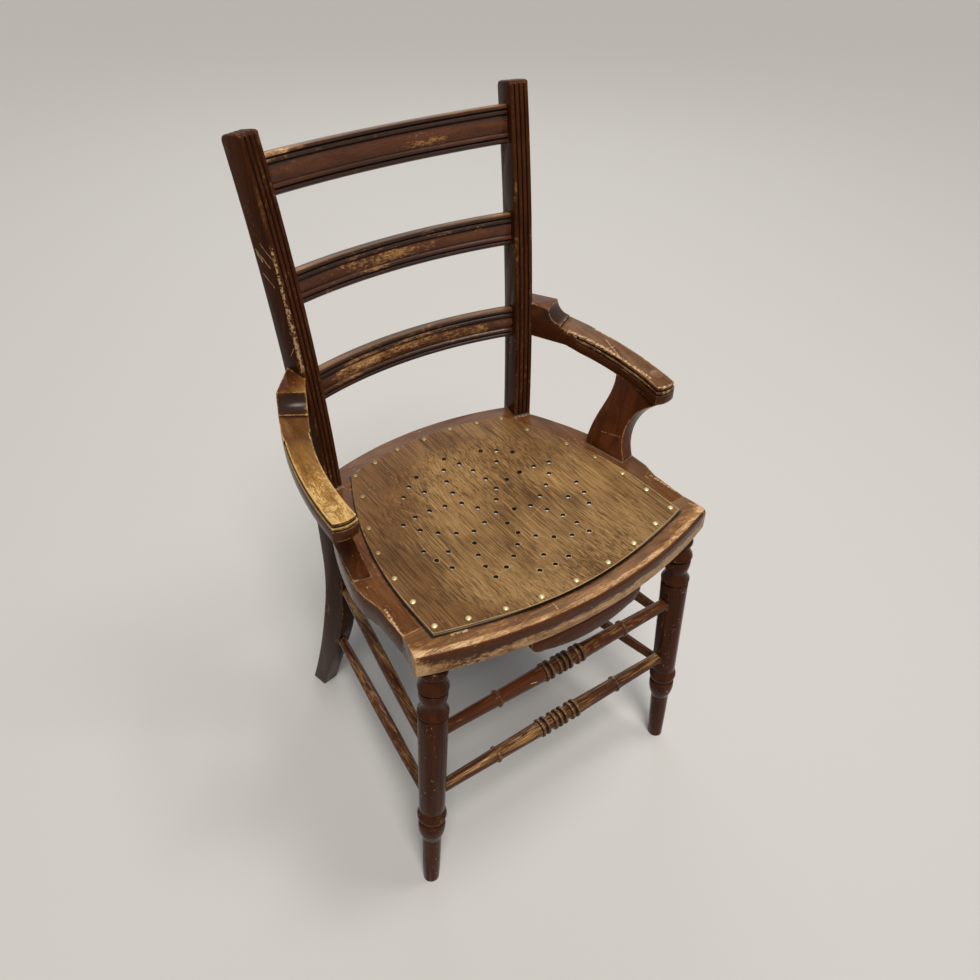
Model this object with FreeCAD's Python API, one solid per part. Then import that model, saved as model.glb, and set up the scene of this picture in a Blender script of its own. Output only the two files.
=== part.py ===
import FreeCAD, Part
import math
import os

from FreeCAD import Placement, Rotation, Vector

# Open armchair with a three-slat back, turned front legs and a dished, perforated plywood seat.
# Millimetres, +Z up, the front faces -Y, the feet stand on z = 0 and X = 0 is the plane of symmetry.
# Pieces are worked out for the right-hand side (+X) and mirrored for the left.

# Overall sizes
seat_height = 430.0
seat_half_width = 203.0
seat_depth = 251.0
back_height = 422.0
glue_gap = 0.1
oversize = 1000.0
overrun = 3.0
tenon_wall = 1.6

# Rear legs, which run on upwards as the back posts
post_width = 23.6
post_depth = 35.0
post_inset = 46.8
post_toe_in = 12.0
post_lean = 1.15
back_radius = 2200.0
plumb_drop = 126.0
knee_radius = 486.0
foot_rake = 21.0
calf_drop = 234.0
calf_depth = 37.0
heel_depth = 25.0
post_top_radius = 8.0
reed_count = 4
reed_relief = 2.1
reed_rise = 1.0

# Slats of the back
slat_height = 38.5
top_slat_height = 43.5
slat_thickness = 12.0
slat_setback = 12.0
slat_bow = 25.0
slat_reed = 6.0
slat_relief = 2.4
slat_field = 1.0
slat_top_margin = 27.0
slat_bottom_rise = 114.0
slat_tenon_thickness = 7.0
slat_tenon_shoulder = 4.0
slat_bevel = 1.5

# Seat frame
rail_thickness = 30.0
front_rail_depth = 71.0
front_bow = 37.8
front_flare = 5.5
nosing_top_radius = 7.5
nosing_bottom_radius = 2.5
side_swell = 5.0
side_waist = 199.0
side_swell_start = 177.0
side_swell_end = 151.0
side_flank = (-12.0, 81.0)
rail_lap = 16.0
back_rail_lead = 5.0
back_rail_depth = 61.0
back_rail_bow = 30.2
rail_tenon_length = 14.0
rail_tenon_thickness = 12.0
rail_tenon_height = 20.0
rail_joint_tenon = (24.0, 9.0, 10.0)
rail_joint_inset = 12.0
seat_post_tenon = (10.0, 9.0, 18.0)
apron_half_width = 78.0
apron_half_foot = 62.0
apron_drop = 31.0
apron_rise = 8.0
apron_thickness = 12.0
apron_setback = 4.0
apron_bend = (4.0, 3.0)

# Seat panel
panel_thickness = 4.0
panel_setback = 25.0
panel_side_inset = 26.0
panel_straight = 24.0
panel_post_gap = 39.9
panel_back_lap = 13.0
panel_back_bow = 19.5
dish_lead = 84.0
dish_radius = 172.0
dish_bowl_radius = 156.0
dish_depth = 13.5
star_lead = 116.0
star_points = 5
star_tip_radius = 119.0
star_notch_radius = 45.5
star_arm_radius = 82.0
star_arm_angle = 15.0
star_steps = 4
star_ring_radius = 24.0
trefoil_radius = 118.0
trefoil_spread = 10.5
trefoil_stem_radius = 96.0
hole_diameter = 6.2

# Front legs
leg_inset = 22.0
leg_lead = 23.5
leg_splay = 18.0
leg_rake = 7.0
leg_tenon_radius = 11.0
leg_tenon_length = 21.0
# Turned outlines: distance from the floor or below the frame, radius, bulge of the stretch before it
leg_foot_outline = (
    (0.0, 9.9), (88.0, 12.2, 0.3), (92.0, 12.6), (121.0, 16.6, 1.8), (122.5, 14.4), (126.0, 14.4),
    (128.0, 16.0), (142.0, 16.0, 2.2), (144.5, 14.8), (149.0, 15.9),
)
leg_head_outline = (
    (84.0, 17.6), (82.5, 15.8), (80.5, 16.6), (75.0, 17.2, 1.3), (64.0, 14.0, -0.6), (62.0, 14.0),
    (42.5, 16.6, 1.2), (41.5, 14.2), (39.5, 14.2), (37.5, 18.0), (34.5, 17.4), (22.0, 12.8, -0.4),
    (19.5, 12.8), (7.5, 12.8, 3.6), (0.0, 12.8),
)

# Stretchers
front_stretcher_upper_height = 280.5
front_stretcher_lower_height = 174.5
side_stretcher_upper_front = 244.0
side_stretcher_upper_rear = 258.0
side_stretcher_lower_front = 153.0
side_stretcher_lower_rear = 138.0
rear_stretcher_height = 196.0
front_stretcher_end_radius = 7.8
front_stretcher_mid_radius = 10.2
ring_height = 2.0
ring_groove = 1.4
ring_half_width = 2.7
ring_places = (8.0, 20.0, 28.0, 97.0)
plain_stretcher_end_radius = 6.4
plain_stretcher_swell = 1.3
stretcher_seat = 13.0
stretcher_past_axis = 3.0

# Arms
arm_front_height = 117.0
arm_slope = 0.127
arm_thickness = 23.0
arm_block_height = 158.5
arm_block_slope = 0.12
arm_scoop_radius = 18.0
arm_scoop_turn = 30.0
arm_rear_underside = 115.0
arm_front_y = -82.0
arm_mould = ((-1.0, 3.4, 1.4), (3.4, 5.6, 3.0), (8.2, 10.2, 2.4))
arm_mould_stop = 52.0
arm_tenon = (8.0, 12.0, 24.0)
arm_tenon_setback = 6.0
# Plan of the arm: beyond the seat frame's half width, and along Y
arm_elbow = (-22.0, 70.0)
arm_inner_middle = (-3.0, 12.0)
arm_inner_tip = 3.0
arm_outer_tip = 33.0
arm_nose = 3.5
arm_outer_middle = (27.5, 8.0)
arm_shoulder = (-2.0, 105.0)
arm_root = (2.0, 33.0)
arm_scoop_edge = (-17.0, 98.0)
arm_knee = (45.0, 65.0)

# Arm supports
support_thickness = 21.0
support_lean = 15.0
support_turn = 10.0
support_inset = 19.0
support_lead = 153.0
support_tenon = (11.0, 34.0, 12.0)
support_tenon_places = (11.0, -4.0)
# Side view of the support: along the seat from its reference edge, and up the board
support_back = ((58.0, 0.0), (56.5, 24.0), (50.5, 50.0), (43.0, 74.0), (43.5, 118.0))
support_hollow = ((-20.0, 87.0), (6.0, 42.0), (-4.0, 6.0))
support_lip = (-26.0, 92.0)

# Places that several pieces share
rail_bottom = seat_height - rail_thickness
post_x = seat_half_width - post_inset
post_y = 97.0
joint_y = post_y - seat_depth
front_half_width = seat_half_width + front_flare
front_curve_radius = (front_half_width ** 2 + front_bow ** 2) / (2 * front_bow)
front_center_y = joint_y - front_rail_depth + front_curve_radius
back_rail_radius = (post_x ** 2 + back_rail_bow ** 2) / (2 * back_rail_bow)
panel_run = seat_depth + panel_back_lap - panel_straight
panel_drop = seat_half_width - panel_side_inset - (post_x - panel_post_gap)
panel_side_radius = (panel_run ** 2 + panel_drop ** 2) / (2 * panel_drop)
slat_tenon_length = post_width - arm_tenon[0] - tenon_wall
rake = math.radians(foot_rake)
plumb_depth = math.sqrt(back_radius ** 2 - plumb_drop ** 2) - back_radius
post_frame = Placement(
    Vector(post_x, post_y, seat_height),
    Rotation(Vector(0, 0, 1), -post_toe_in).multiply(Rotation(Vector(0, 1, 0), post_lean)),
)


def line(a, b):
    return Part.LineSegment(a, b).toShape()


def arc(a, middle, b):
    return Part.Arc(a, middle, b).toShape()


def face_of(edges):
    return Part.Face(Part.Wire(Part.__sortEdges__(edges)))


def polygon(points):
    return Part.Face(Part.makePolygon(list(points) + [points[0]]))


def placed(shape, placement):
    return shape.transformed(placement.toMatrix(), True)


def mirrored(shape):
    return shape.mirror(Vector(0, 0, 0), Vector(1, 0, 0))


def both_sides(shape):
    return [shape, mirrored(shape)]


def fused(shapes):
    return shapes[0].multiFuse(shapes[1:]).removeSplitter()


def rod(start, end, radius):
    axis = end - start
    return Part.makeCylinder(radius, axis.Length, start, axis)


def turned(outline, start, end):
    """Turns an outline of (distance, radius, bulge) about the line from start to end."""
    first, last = outline[0], outline[-1]
    edges = [line(Vector(0, 0, last[0]), Vector(0, 0, first[0]))]
    edges.append(line(Vector(0, 0, first[0]), Vector(first[1], 0, first[0])))
    edges.append(line(Vector(last[1], 0, last[0]), Vector(0, 0, last[0])))
    for before, after in zip(outline, outline[1:]):
        a = Vector(before[1], 0, before[0])
        b = Vector(after[1], 0, after[0])
        bulge = after[2] if len(after) > 2 else 0
        if bulge:
            chord = b - a
            outward = Vector(chord.z, 0, -chord.x).normalize()
            edges.append(arc(a, (a + b) * 0.5 + outward * bulge, b))
        else:
            edges.append(line(a, b))
    solid = face_of(edges).revolve(Vector(0, 0, 0), Vector(0, 0, 1), 360)
    return placed(solid, Placement(start, Rotation(Vector(0, 0, 1), end - start)))


def ground():
    """Everything below the floor."""
    return Part.makeBox(2 * oversize, 2 * oversize, oversize, Vector(-oversize, -oversize, -oversize))


def post_front(height):
    """Depth of the post's front face at a height above the seat frame, in the post's own frame."""
    drop = -height - plumb_drop
    if drop <= 0:
        return plumb_depth + back_radius - math.sqrt(back_radius ** 2 - drop ** 2)
    bent = min(drop, knee_radius * math.sin(rake))
    depth = plumb_depth + knee_radius - math.sqrt(knee_radius ** 2 - bent ** 2)
    return depth + (drop - bent) * math.tan(rake)


def post_point(across, into, height):
    """Point in the chair's frame: across from the outer face, into from the front face."""
    return post_frame.multVec(Vector(-across, post_front(height) + into, height))


def beyond_post_face(depth):
    """Everything outside a plane that lies depth inside the inner faces of the two posts."""
    corner = Vector(depth - post_width, -oversize, -oversize)
    box = Part.makeBox(oversize, 2 * oversize, 2 * oversize, corner)
    return both_sides(placed(box, post_frame))


def reed_section(width, count, relief, lead):
    """What is planed off a face to leave reeds: x runs across the face and y into it."""
    pitch = width / count
    edges = [line(Vector(0, -lead, 0), Vector(width, -lead, 0))]
    edges.append(line(Vector(0, -lead, 0), Vector(0, relief, 0)))
    edges.append(line(Vector(width, -lead, 0), Vector(width, relief, 0)))
    for index in range(count):
        a = Vector(index * pitch, relief, 0)
        b = Vector((index + 1) * pitch, relief, 0)
        edges.append(arc(a, Vector((index + 0.5) * pitch, 0, 0), b))
    return face_of(edges)


def post_blank():
    """Sawn rear leg: a plank cut to the sabre curve below the seat and the raked back above it."""
    centre = Vector(0, plumb_depth + back_radius, -plumb_drop)
    top_angle = math.asin((back_height + plumb_drop) / back_radius)

    def on_back(angle, radius):
        return centre + Vector(0, -radius * math.cos(angle), radius * math.sin(angle))

    def front(height):
        return Vector(0, post_front(height), height)

    floor = -seat_height - overrun
    knee_end = -plumb_drop - knee_radius * math.sin(rake)
    knee_middle = -plumb_drop - knee_radius * math.sin(rake / 2)
    inner_radius = back_radius - post_depth
    plumb_back = on_back(0, inner_radius)
    calf = front(-calf_drop) + Vector(0, calf_depth, 0)
    heel = front(floor) + Vector(0, heel_depth, 0)
    calf_curve = Part.BSplineCurve()
    calf_curve.interpolate(
        Points=[heel, calf, plumb_back],
        InitialTangent=Vector(0, -math.sin(rake), math.cos(rake)),
        FinalTangent=Vector(0, 0, 1),
    )
    profile = face_of([
        arc(front(-plumb_drop), on_back(top_angle / 2, back_radius), on_back(top_angle, back_radius)),
        line(on_back(top_angle, back_radius), on_back(top_angle, inner_radius)),
        arc(on_back(top_angle, inner_radius), on_back(top_angle / 2, inner_radius), plumb_back),
        calf_curve.toShape(),
        line(heel, front(floor)),
        line(front(floor), front(knee_end)),
        arc(front(knee_end), front(knee_middle), front(-plumb_drop)),
    ])
    plank = profile.extrude(Vector(-post_width, 0, 0))
    top_edges = [
        edge for edge in plank.Edges
        if edge.BoundBox.ZMin > back_height - post_depth and edge.BoundBox.XLength > post_width / 2
    ]
    plank = plank.makeFillet(post_top_radius, top_edges)

    lead = 2.0
    reed_angle = math.asin((plumb_drop + reed_rise) / back_radius)
    section = reed_section(post_width, reed_count, reed_relief, lead)
    face_reeds = section.translated(Vector(-post_width, plumb_depth, -plumb_drop))
    face_reeds.rotate(centre, Vector(-1, 0, 0), math.degrees(reed_angle))
    sweep = math.degrees(top_angle - reed_angle) + 1
    face_reeds = face_reeds.revolve(centre, Vector(-1, 0, 0), sweep)
    top_reeds = section.extrude(Vector(0, 0, post_depth + 2 * lead))
    top_reeds.translate(Vector(-post_width, 0, -lead))
    turn = Rotation(Vector(1, 0, 0), -90 - math.degrees(top_angle))
    top_reeds = placed(top_reeds, Placement(on_back(top_angle, back_radius), turn))
    plank = plank.cut([face_reeds, top_reeds])

    return placed(plank, post_frame).cut(ground())


def slat(middle_height, height):
    """Bowed slat with two reeds along each edge; returns the slat and the mortise that it needs."""
    end = post_point(post_width, slat_setback, middle_height)
    angle = math.asin((middle_height + plumb_drop) / back_radius)
    radius = (end.x ** 2 + slat_bow ** 2) / (2 * slat_bow)
    origin = Vector(0, end.y + slat_bow * math.cos(angle), end.z - slat_bow * math.sin(angle))
    frame = Placement(origin, Rotation(Vector(1, 0, 0), -math.degrees(angle)))
    half_height = height / 2

    def bowed(points):
        section = polygon([Vector(0, y, z) for y, z in points])
        half = math.degrees(math.asin((end.x + post_width) / radius))
        section.rotate(Vector(0, -radius, 0), Vector(0, 0, 1), -half)
        return placed(section.revolve(Vector(0, -radius, 0), Vector(0, 0, 1), 2 * half), frame)

    upper_front = [(slat_field, half_height - 2 * slat_reed - slat_relief)]
    for reed in (1, 0):
        top = half_height - reed * slat_reed
        low = top - slat_reed
        upper_front += [(slat_relief, low), (0, low + slat_bevel), (0, top - slat_bevel)]
    upper_front.append((slat_relief, half_height))
    lower_front = [(y, -z) for y, z in reversed(upper_front)]
    back = [(slat_thickness, half_height), (slat_thickness, -half_height)]
    body = bowed(lower_front + upper_front + back).cut(beyond_post_face(0))

    def tenon(gap):
        front = (slat_thickness - slat_tenon_thickness) / 2 - gap
        rear = front + slat_tenon_thickness + 2 * gap
        top = half_height - slat_tenon_shoulder + gap
        solid = bowed([(front, -top), (rear, -top), (rear, top), (front, top)])
        return solid.cut(beyond_post_face(slat_tenon_length + gap))

    return fused([body, tenon(0)]), tenon(glue_gap)


def plan_prism(edges, bottom, top):
    """Upright prism from plan edges that are drawn at z = 0."""
    solid = face_of(edges).extrude(Vector(0, 0, top - bottom))
    return solid.translated(Vector(0, 0, bottom))


def on_front_curve(x, setback):
    radius = front_curve_radius - setback
    return Vector(x, front_center_y - math.sqrt(radius ** 2 - x ** 2), 0)


def front_rail_blank():
    corner = on_front_curve(front_half_width, 0)
    end = Vector(seat_half_width, joint_y, 0)
    left_corner = Vector(-corner.x, corner.y, 0)
    left_end = Vector(-end.x, end.y, 0)
    nose = arc(left_corner, on_front_curve(0, 0), corner)
    blank = plan_prism(
        [nose, line(corner, end), line(end, left_end), line(left_end, left_corner)],
        rail_bottom, seat_height,
    )
    for radius, level in ((nosing_top_radius, seat_height), (nosing_bottom_radius, rail_bottom)):
        edges = [
            edge for edge in blank.Edges
            if edge.Curve.TypeId == "Part::GeomCircle" and edge.BoundBox.ZLength < glue_gap
            and abs(edge.BoundBox.ZMin - level) < glue_gap
        ]
        blank = blank.makeFillet(radius, edges)
    return blank


def front_apron():
    """Shaped strip glued below the middle of the front rail."""
    outer = front_curve_radius - apron_setback
    centre = Vector(0, front_center_y, rail_bottom - apron_drop)
    ring = Part.makeCylinder(outer, apron_drop, centre)
    ring = ring.cut(Part.makeCylinder(outer - apron_thickness, apron_drop, centre))
    low = rail_bottom - apron_drop
    wide = Vector(apron_half_width, 0, rail_bottom)
    foot = Vector(apron_half_foot, 0, low + apron_rise)
    bend = Vector(apron_half_width - apron_bend[0], 0, foot.z + apron_bend[1])
    edges = [line(Vector(-wide.x, 0, wide.z), wide)]
    edges.append(arc(wide, bend, foot))
    edges.append(arc(foot, Vector(0, 0, low), Vector(-foot.x, 0, foot.z)))
    edges.append(arc(Vector(-foot.x, 0, foot.z), Vector(-bend.x, 0, bend.z), Vector(-wide.x, 0, wide.z)))
    elevation = face_of(edges).extrude(Vector(0, -2 * front_curve_radius, 0))
    return ring.common(elevation.translated(Vector(0, front_center_y, 0)))


def side_curve(x, radius, y):
    """Distance from the middle plane of a side that is straight at the front and then curves in."""
    forward = max(0, y - joint_y - panel_straight)
    return x - radius + math.sqrt(radius ** 2 - forward ** 2)


def side_rail_blank():
    """Right-hand side rail, still running on into the post and the back rail."""
    inner_x = seat_half_width - panel_side_inset - rail_lap
    inner_radius = panel_side_radius - rail_lap
    straight_y = joint_y + panel_straight
    back_y = post_y - back_rail_lead + overrun

    def inner(y):
        return Vector(side_curve(inner_x, inner_radius, y), y, 0)

    post_corner = post_frame.multVec(Vector(0, 0, 0))
    seat_in_post = post_frame.multVec(Vector(0, post_depth / 3, 0))
    inner_in_post = post_frame.multVec(Vector(-post_width - overrun, post_depth / 3, 0))
    for point in (post_corner, seat_in_post, inner_in_post):
        point.z = 0
    front = Vector(seat_half_width, joint_y, 0)
    waist = Vector(seat_half_width, post_y - side_waist, 0)
    swell_start = Vector(seat_half_width + side_swell, post_y - side_swell_start, 0)
    swell_end = Vector(seat_half_width + side_swell, post_y - side_swell_end, 0)
    flank = Vector(seat_half_width + side_flank[0], post_y - side_flank[1], 0)
    return plan_prism([
        line(inner(joint_y), front),
        line(front, waist),
        line(waist, swell_start),
        line(swell_start, swell_end),
        arc(swell_end, flank, post_corner),
        line(post_corner, seat_in_post),
        line(seat_in_post, inner_in_post),
        line(inner_in_post, inner(back_y)),
        arc(inner(back_y), inner((back_y + straight_y) / 2), inner(straight_y)),
        line(inner(straight_y), inner(joint_y)),
    ], rail_bottom, seat_height)


def back_rail():
    """Bowed back rail with a tenon for each post; returns the rail and its mortises."""
    front_y = post_y - back_rail_lead
    rear_y = front_y + back_rail_depth
    reach = post_x

    def rear(x):
        return Vector(x, rear_y - back_rail_radius + math.sqrt(back_rail_radius ** 2 - x ** 2), 0)

    body = plan_prism([
        line(Vector(-reach, front_y, 0), Vector(reach, front_y, 0)),
        line(Vector(reach, front_y, 0), rear(reach)),
        arc(rear(reach), rear(0), rear(-reach)),
        line(rear(-reach), Vector(-reach, front_y, 0)),
    ], rail_bottom, seat_height).cut(beyond_post_face(0))

    def tenons(gap, overlap):
        box = Part.makeBox(
            rail_tenon_length + overlap + gap,
            rail_tenon_thickness + 2 * gap,
            rail_tenon_height + 2 * gap,
            Vector(
                -post_width - overlap,
                seat_post_tenon[1] + tenon_wall - gap,
                -(rail_thickness + rail_tenon_height) / 2 - gap,
            ),
        )
        return both_sides(placed(box, post_frame))

    return fused([body] + tenons(0, overrun)), tenons(glue_gap, 0)


def dish_shape():
    """Radii of the spherical bowl and of the rolled rim, which meet at one slope."""
    tilt = 2 * math.atan(dish_depth / dish_radius)
    return dish_bowl_radius / math.sin(tilt), (dish_radius - dish_bowl_radius) / math.sin(tilt)


def dish_edges(height, inset):
    """Section of the dish from its axis to its rim; the underside is inset by the sheet's thickness."""
    bowl, rim = dish_shape()
    tilt = math.asin(dish_bowl_radius / bowl)
    bowl_centre = Vector(0, 0, height - dish_depth + bowl)
    rim_centre = Vector(dish_radius, 0, height - rim)

    def on_bowl(angle):
        return bowl_centre + Vector(math.sin(angle), 0, -math.cos(angle)) * (bowl + inset)

    def on_rim(angle):
        return rim_centre + Vector(-math.sin(angle), 0, math.cos(angle)) * (rim - inset)

    return [
        arc(on_bowl(0), on_bowl(tilt / 2), on_bowl(tilt)),
        arc(on_rim(tilt), on_rim(tilt / 2), on_rim(0)),
    ]


panel_bottom = seat_height + glue_gap
panel_top = panel_bottom + panel_thickness
dish_axis = Vector(0, joint_y + dish_lead, 0)


def about_dish(edges):
    solid = face_of(edges).revolve(Vector(0, 0, 0), Vector(0, 0, 1), 360)
    return solid.translated(dish_axis)


def panel_corners(inset):
    """Front corner, end of the straight side and back corner of the panel, inset from its edge."""
    side_x = seat_half_width - panel_side_inset - inset
    straight_y = joint_y + panel_straight
    back_y = post_y + panel_back_lap - inset
    front = on_front_curve(side_x, panel_setback + inset)
    straight = Vector(side_x, straight_y, 0)
    back = Vector(side_curve(side_x, panel_side_radius - inset, back_y), back_y, 0)
    return front, straight, back


def panel_outline(inset):
    """Front, right, back and left edges of the panel as wires."""
    front, straight, back = panel_corners(inset)
    side_x = straight.x
    middle_y = (straight.y + back.y) / 2
    bulge = Vector(side_curve(side_x, panel_side_radius - inset, middle_y), middle_y, 0)
    left_front = Vector(-front.x, front.y, 0)
    left_back = Vector(-back.x, back.y, 0)
    front_wire = Part.Wire([arc(left_front, on_front_curve(0, panel_setback + inset), front)])
    right_wire = Part.Wire([line(front, straight), arc(straight, bulge, back)])
    back_wire = Part.Wire([arc(back, Vector(0, back.y + panel_back_bow, 0), left_back)])
    return front_wire, right_wire, back_wire, mirrored(right_wire)


def panel_blank():
    top = Vector(oversize, 0, panel_top)
    bottom = Vector(oversize, 0, panel_bottom)
    sheet = about_dish(
        dish_edges(panel_top, 0) + dish_edges(panel_top, panel_thickness) + [
            line(Vector(dish_radius, 0, panel_top), top),
            line(top, bottom),
            line(bottom, Vector(dish_radius, 0, panel_bottom)),
            line(Vector(0, 0, panel_bottom - dish_depth), Vector(0, 0, panel_top - dish_depth)),
        ]
    )
    edges = [edge for wire in panel_outline(0) for edge in wire.Edges]
    return plan_prism(edges, rail_bottom, panel_top + rail_thickness).common(sheet)


def panel_bed():
    """Hollow that the dished panel needs in the top of the frame."""
    top = panel_top + rail_thickness
    return about_dish(dish_edges(panel_top, panel_thickness + glue_gap) + [
        line(Vector(dish_radius, 0, seat_height), Vector(dish_radius, 0, top)),
        line(Vector(dish_radius, 0, top), Vector(0, 0, top)),
        line(Vector(0, 0, top), Vector(0, 0, seat_height - dish_depth)),
    ])


def star_holes():
    """Centres of the perforations: a five-pointed star, the ring in it and a trefoil between points."""
    centre = Vector(0, joint_y + star_lead, 0)
    sector = 360 / star_points

    def polar(radius, angle):
        turn = math.radians(angle)
        return centre + Vector(radius * math.sin(turn), radius * math.cos(turn), 0)

    holes = [centre]
    for index in range(star_points):
        tip = index * sector
        notch = tip + sector / 2
        holes.append(polar(star_tip_radius, tip))
        holes.append(polar(star_notch_radius, notch))
        holes.append(polar(star_ring_radius, notch))
        holes.append(polar(trefoil_stem_radius, notch))
        for spread in (-trefoil_spread, 0, trefoil_spread):
            holes.append(polar(trefoil_radius, notch + spread))
        for side in (-1, 1):
            arm = arc(
                polar(star_tip_radius, tip),
                polar(star_arm_radius, tip + side * star_arm_angle),
                polar(star_notch_radius, tip + side * sector / 2),
            )
            holes.extend(arm.discretize(Number=star_steps + 1)[1:-1])
    return holes


def hole_drills():
    """Drills square to the bowl, as holes lie that were punched before the sheet was pressed."""
    bowl_radius = dish_shape()[0]
    bowl_centre = dish_axis + Vector(0, 0, panel_top - dish_depth + bowl_radius)
    drills = []
    for hole in star_holes():
        axis = (hole + Vector(0, 0, rail_bottom) - bowl_centre).normalize()
        start = bowl_centre + axis * (bowl_radius - panel_thickness)
        drills.append(rod(start, start + axis * 3 * panel_thickness, hole_diameter / 2))
    return drills


def leg_axis(height):
    """Point on the axis of the right front leg at a height above the floor."""
    share = 1 - height / rail_bottom
    x = seat_half_width - leg_inset + leg_splay * share
    y = joint_y - leg_lead - leg_rake * share
    return Vector(x, y, height)


def front_leg_blank():
    """Turned leg: tapered foot, cup and ring, long shaft, flared collar, vase and two beads."""
    start = leg_axis(0)
    end = leg_axis(rail_bottom)
    top = (end - start).Length
    outline = [(-overrun, leg_foot_outline[0][1])] + list(leg_foot_outline[1:])
    outline += [(top - point[0],) + point[1:] for point in leg_head_outline]
    outline.append((top + overrun, outline[-1][1]))
    frame_space = ground().translated(Vector(0, 0, rail_bottom + oversize))
    shaft = turned(outline, start, end).cut([ground(), frame_space])
    return fused([shaft, leg_tenon(0)])


def leg_tenon(gap):
    """Round tenon at the top of the leg, which goes up into the front rail."""
    axis = (leg_axis(rail_bottom) - leg_axis(0)).normalize()
    end = leg_axis(rail_bottom) + axis * (leg_tenon_length + gap)
    return rod(leg_axis(rail_bottom) - axis * overrun, end, leg_tenon_radius + gap)


def sockets_for(start, end, radius):
    """Holes that the two ends of a stretcher sit in, one at each end of the line from start to end."""
    axis = (end - start).normalize()
    holes = []
    for point, inward in ((start, axis), (end, axis * -1)):
        holes.append(rod(point - inward * glue_gap, point + inward * 2 * stretcher_seat, radius + glue_gap))
    return holes


def front_stretcher(height):
    """Turned stretcher between the front legs, with a cluster of rings in the middle; also its sockets."""
    leg = leg_axis(height)
    right = leg - Vector(stretcher_past_axis, 0, 0)
    left = Vector(-right.x, right.y, right.z)
    end = right.x
    seat = end - 2 * stretcher_seat
    single = ring_places[-1]
    cluster = ring_places[-2] + ring_half_width
    thin = front_stretcher_end_radius
    thick = front_stretcher_mid_radius
    groove = thick - ring_groove
    crest = thick + ring_height

    def body_radius(place):
        return thin + (thick - thin) * (seat - place) / (seat - cluster)

    def ring(place, root, crest):
        flat = ring_half_width / 2
        return [
            (place - ring_half_width, root), (place - flat, crest),
            (place + flat, crest), (place + ring_half_width, root),
        ]

    half = []
    for place in ring_places[:-1]:
        half += ring(place, groove, crest)
    root = body_radius(single)
    half += [(cluster, thick)] + ring(single, root, root + ring_height) + [(seat, thin), (end, thin)]
    other_half = [(-place, radius) for place, radius in reversed(half)]
    middle = Vector(0, right.y, right.z)
    body = turned(other_half + ring(0, groove, crest) + half, middle, middle + Vector(1, 0, 0))
    return body, sockets_for(left, right, thin)


def plain_stretcher(start, end):
    """Plain round stretcher, thickest in the middle; returns it with the sockets that it needs."""
    length = (end - start).Length
    radius = plain_stretcher_end_radius
    seat = 2 * stretcher_seat
    outline = [(0, radius), (seat, radius), (length - seat, radius, plain_stretcher_swell), (length, radius)]
    return turned(outline, start, end), sockets_for(start, end, radius)


def side_stretcher(front_height, rear_height):
    leg = leg_axis(front_height)
    post = post_point(post_width / 2, stretcher_seat, rear_height - seat_height)
    return plain_stretcher(leg + (post - leg).normalize() * stretcher_past_axis, post)


def rear_stretcher():
    height = rear_stretcher_height - seat_height
    right = post_point(post_width - stretcher_seat, calf_depth / 2, height)
    return plain_stretcher(Vector(-right.x, right.y, right.z), right)


def arm_top(y):
    """Height of the arm's sloping top at a place along it."""
    return seat_height + arm_front_height + (y - arm_front_y) * arm_slope


def across(points):
    """Prism along X from (y, z) points, wide enough to pass through the whole arm."""
    face = polygon([Vector(0, y, z) for y, z in points])
    return face.extrude(Vector(2 * seat_half_width, 0, 0))


def arm_plan(inset):
    """Plan of the arm at z = 0, from the post to the rounded front end."""
    middle_height = (arm_block_height + arm_rear_underside) / 2
    front, back = arm_root
    rear = [
        post_point(0, front, middle_height), post_point(overrun, front + overrun, middle_height),
        post_point(overrun, back, middle_height), post_point(0, back, middle_height),
    ]
    for point in rear:
        point.z = 0
    half = seat_half_width
    elbow = Vector(half + arm_elbow[0], arm_elbow[1], 0)
    inner_middle = Vector(half + arm_inner_middle[0], arm_inner_middle[1], 0)
    inner_tip = Vector(half + arm_inner_tip, arm_front_y, 0)
    nose = Vector(half + (arm_inner_tip + arm_outer_tip) / 2, arm_front_y - arm_nose, 0)
    outer_tip = Vector(half + arm_outer_tip, arm_front_y, 0)
    outer_middle = Vector(half + arm_outer_middle[0], arm_outer_middle[1], 0)
    shoulder = Vector(half + arm_shoulder[0], arm_shoulder[1], 0)
    wire = Part.Wire(Part.__sortEdges__([
        line(rear[0], elbow),
        arc(elbow, inner_middle, inner_tip),
        arc(inner_tip, nose, outer_tip),
        arc(outer_tip, outer_middle, shoulder),
        line(shoulder, rear[3]),
        line(rear[3], rear[2]),
        line(rear[2], rear[1]),
        line(rear[1], rear[0]),
    ]))
    return Part.Face(wire.makeOffset2D(-inset) if inset else wire)


def arm_underside():
    """Everything below the arm."""
    rise_y, level_y = arm_knee
    level = seat_height + arm_rear_underside
    far = oversize
    return across([
        (-far, -far), (-far, arm_top(-far) - arm_thickness), (rise_y, arm_top(rise_y) - arm_thickness),
        (level_y, level), (far, level), (far, -far),
    ])


def arm_scoop():
    """Block left standing at the post, hollowed in front by a quarter round."""
    top = seat_height + arm_block_height
    radius = arm_scoop_radius
    deep = top - 3 * radius
    reach = arm_block_height / 2
    half_turn = math.sqrt(0.5) * radius
    rear_top = Vector(0, reach, top + reach * arm_block_slope)
    rear_low = Vector(0, reach, deep)
    front_low = Vector(0, -radius, deep)
    front_high = Vector(0, -radius, top - radius)
    edge = Vector(0, 0, top)
    profile = face_of([
        line(rear_low, rear_top),
        line(rear_top, edge),
        arc(edge, Vector(0, half_turn - radius, top - half_turn), front_high),
        line(front_high, front_low),
        line(front_low, rear_low),
    ])
    block = profile.extrude(Vector(6 * reach, 0, 0)).translated(Vector(-3 * reach, 0, 0))
    place = Vector(seat_half_width + arm_scoop_edge[0], arm_scoop_edge[1], 0)
    return placed(block, Placement(place, Rotation(Vector(0, 0, 1), arm_scoop_turn)))


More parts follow.
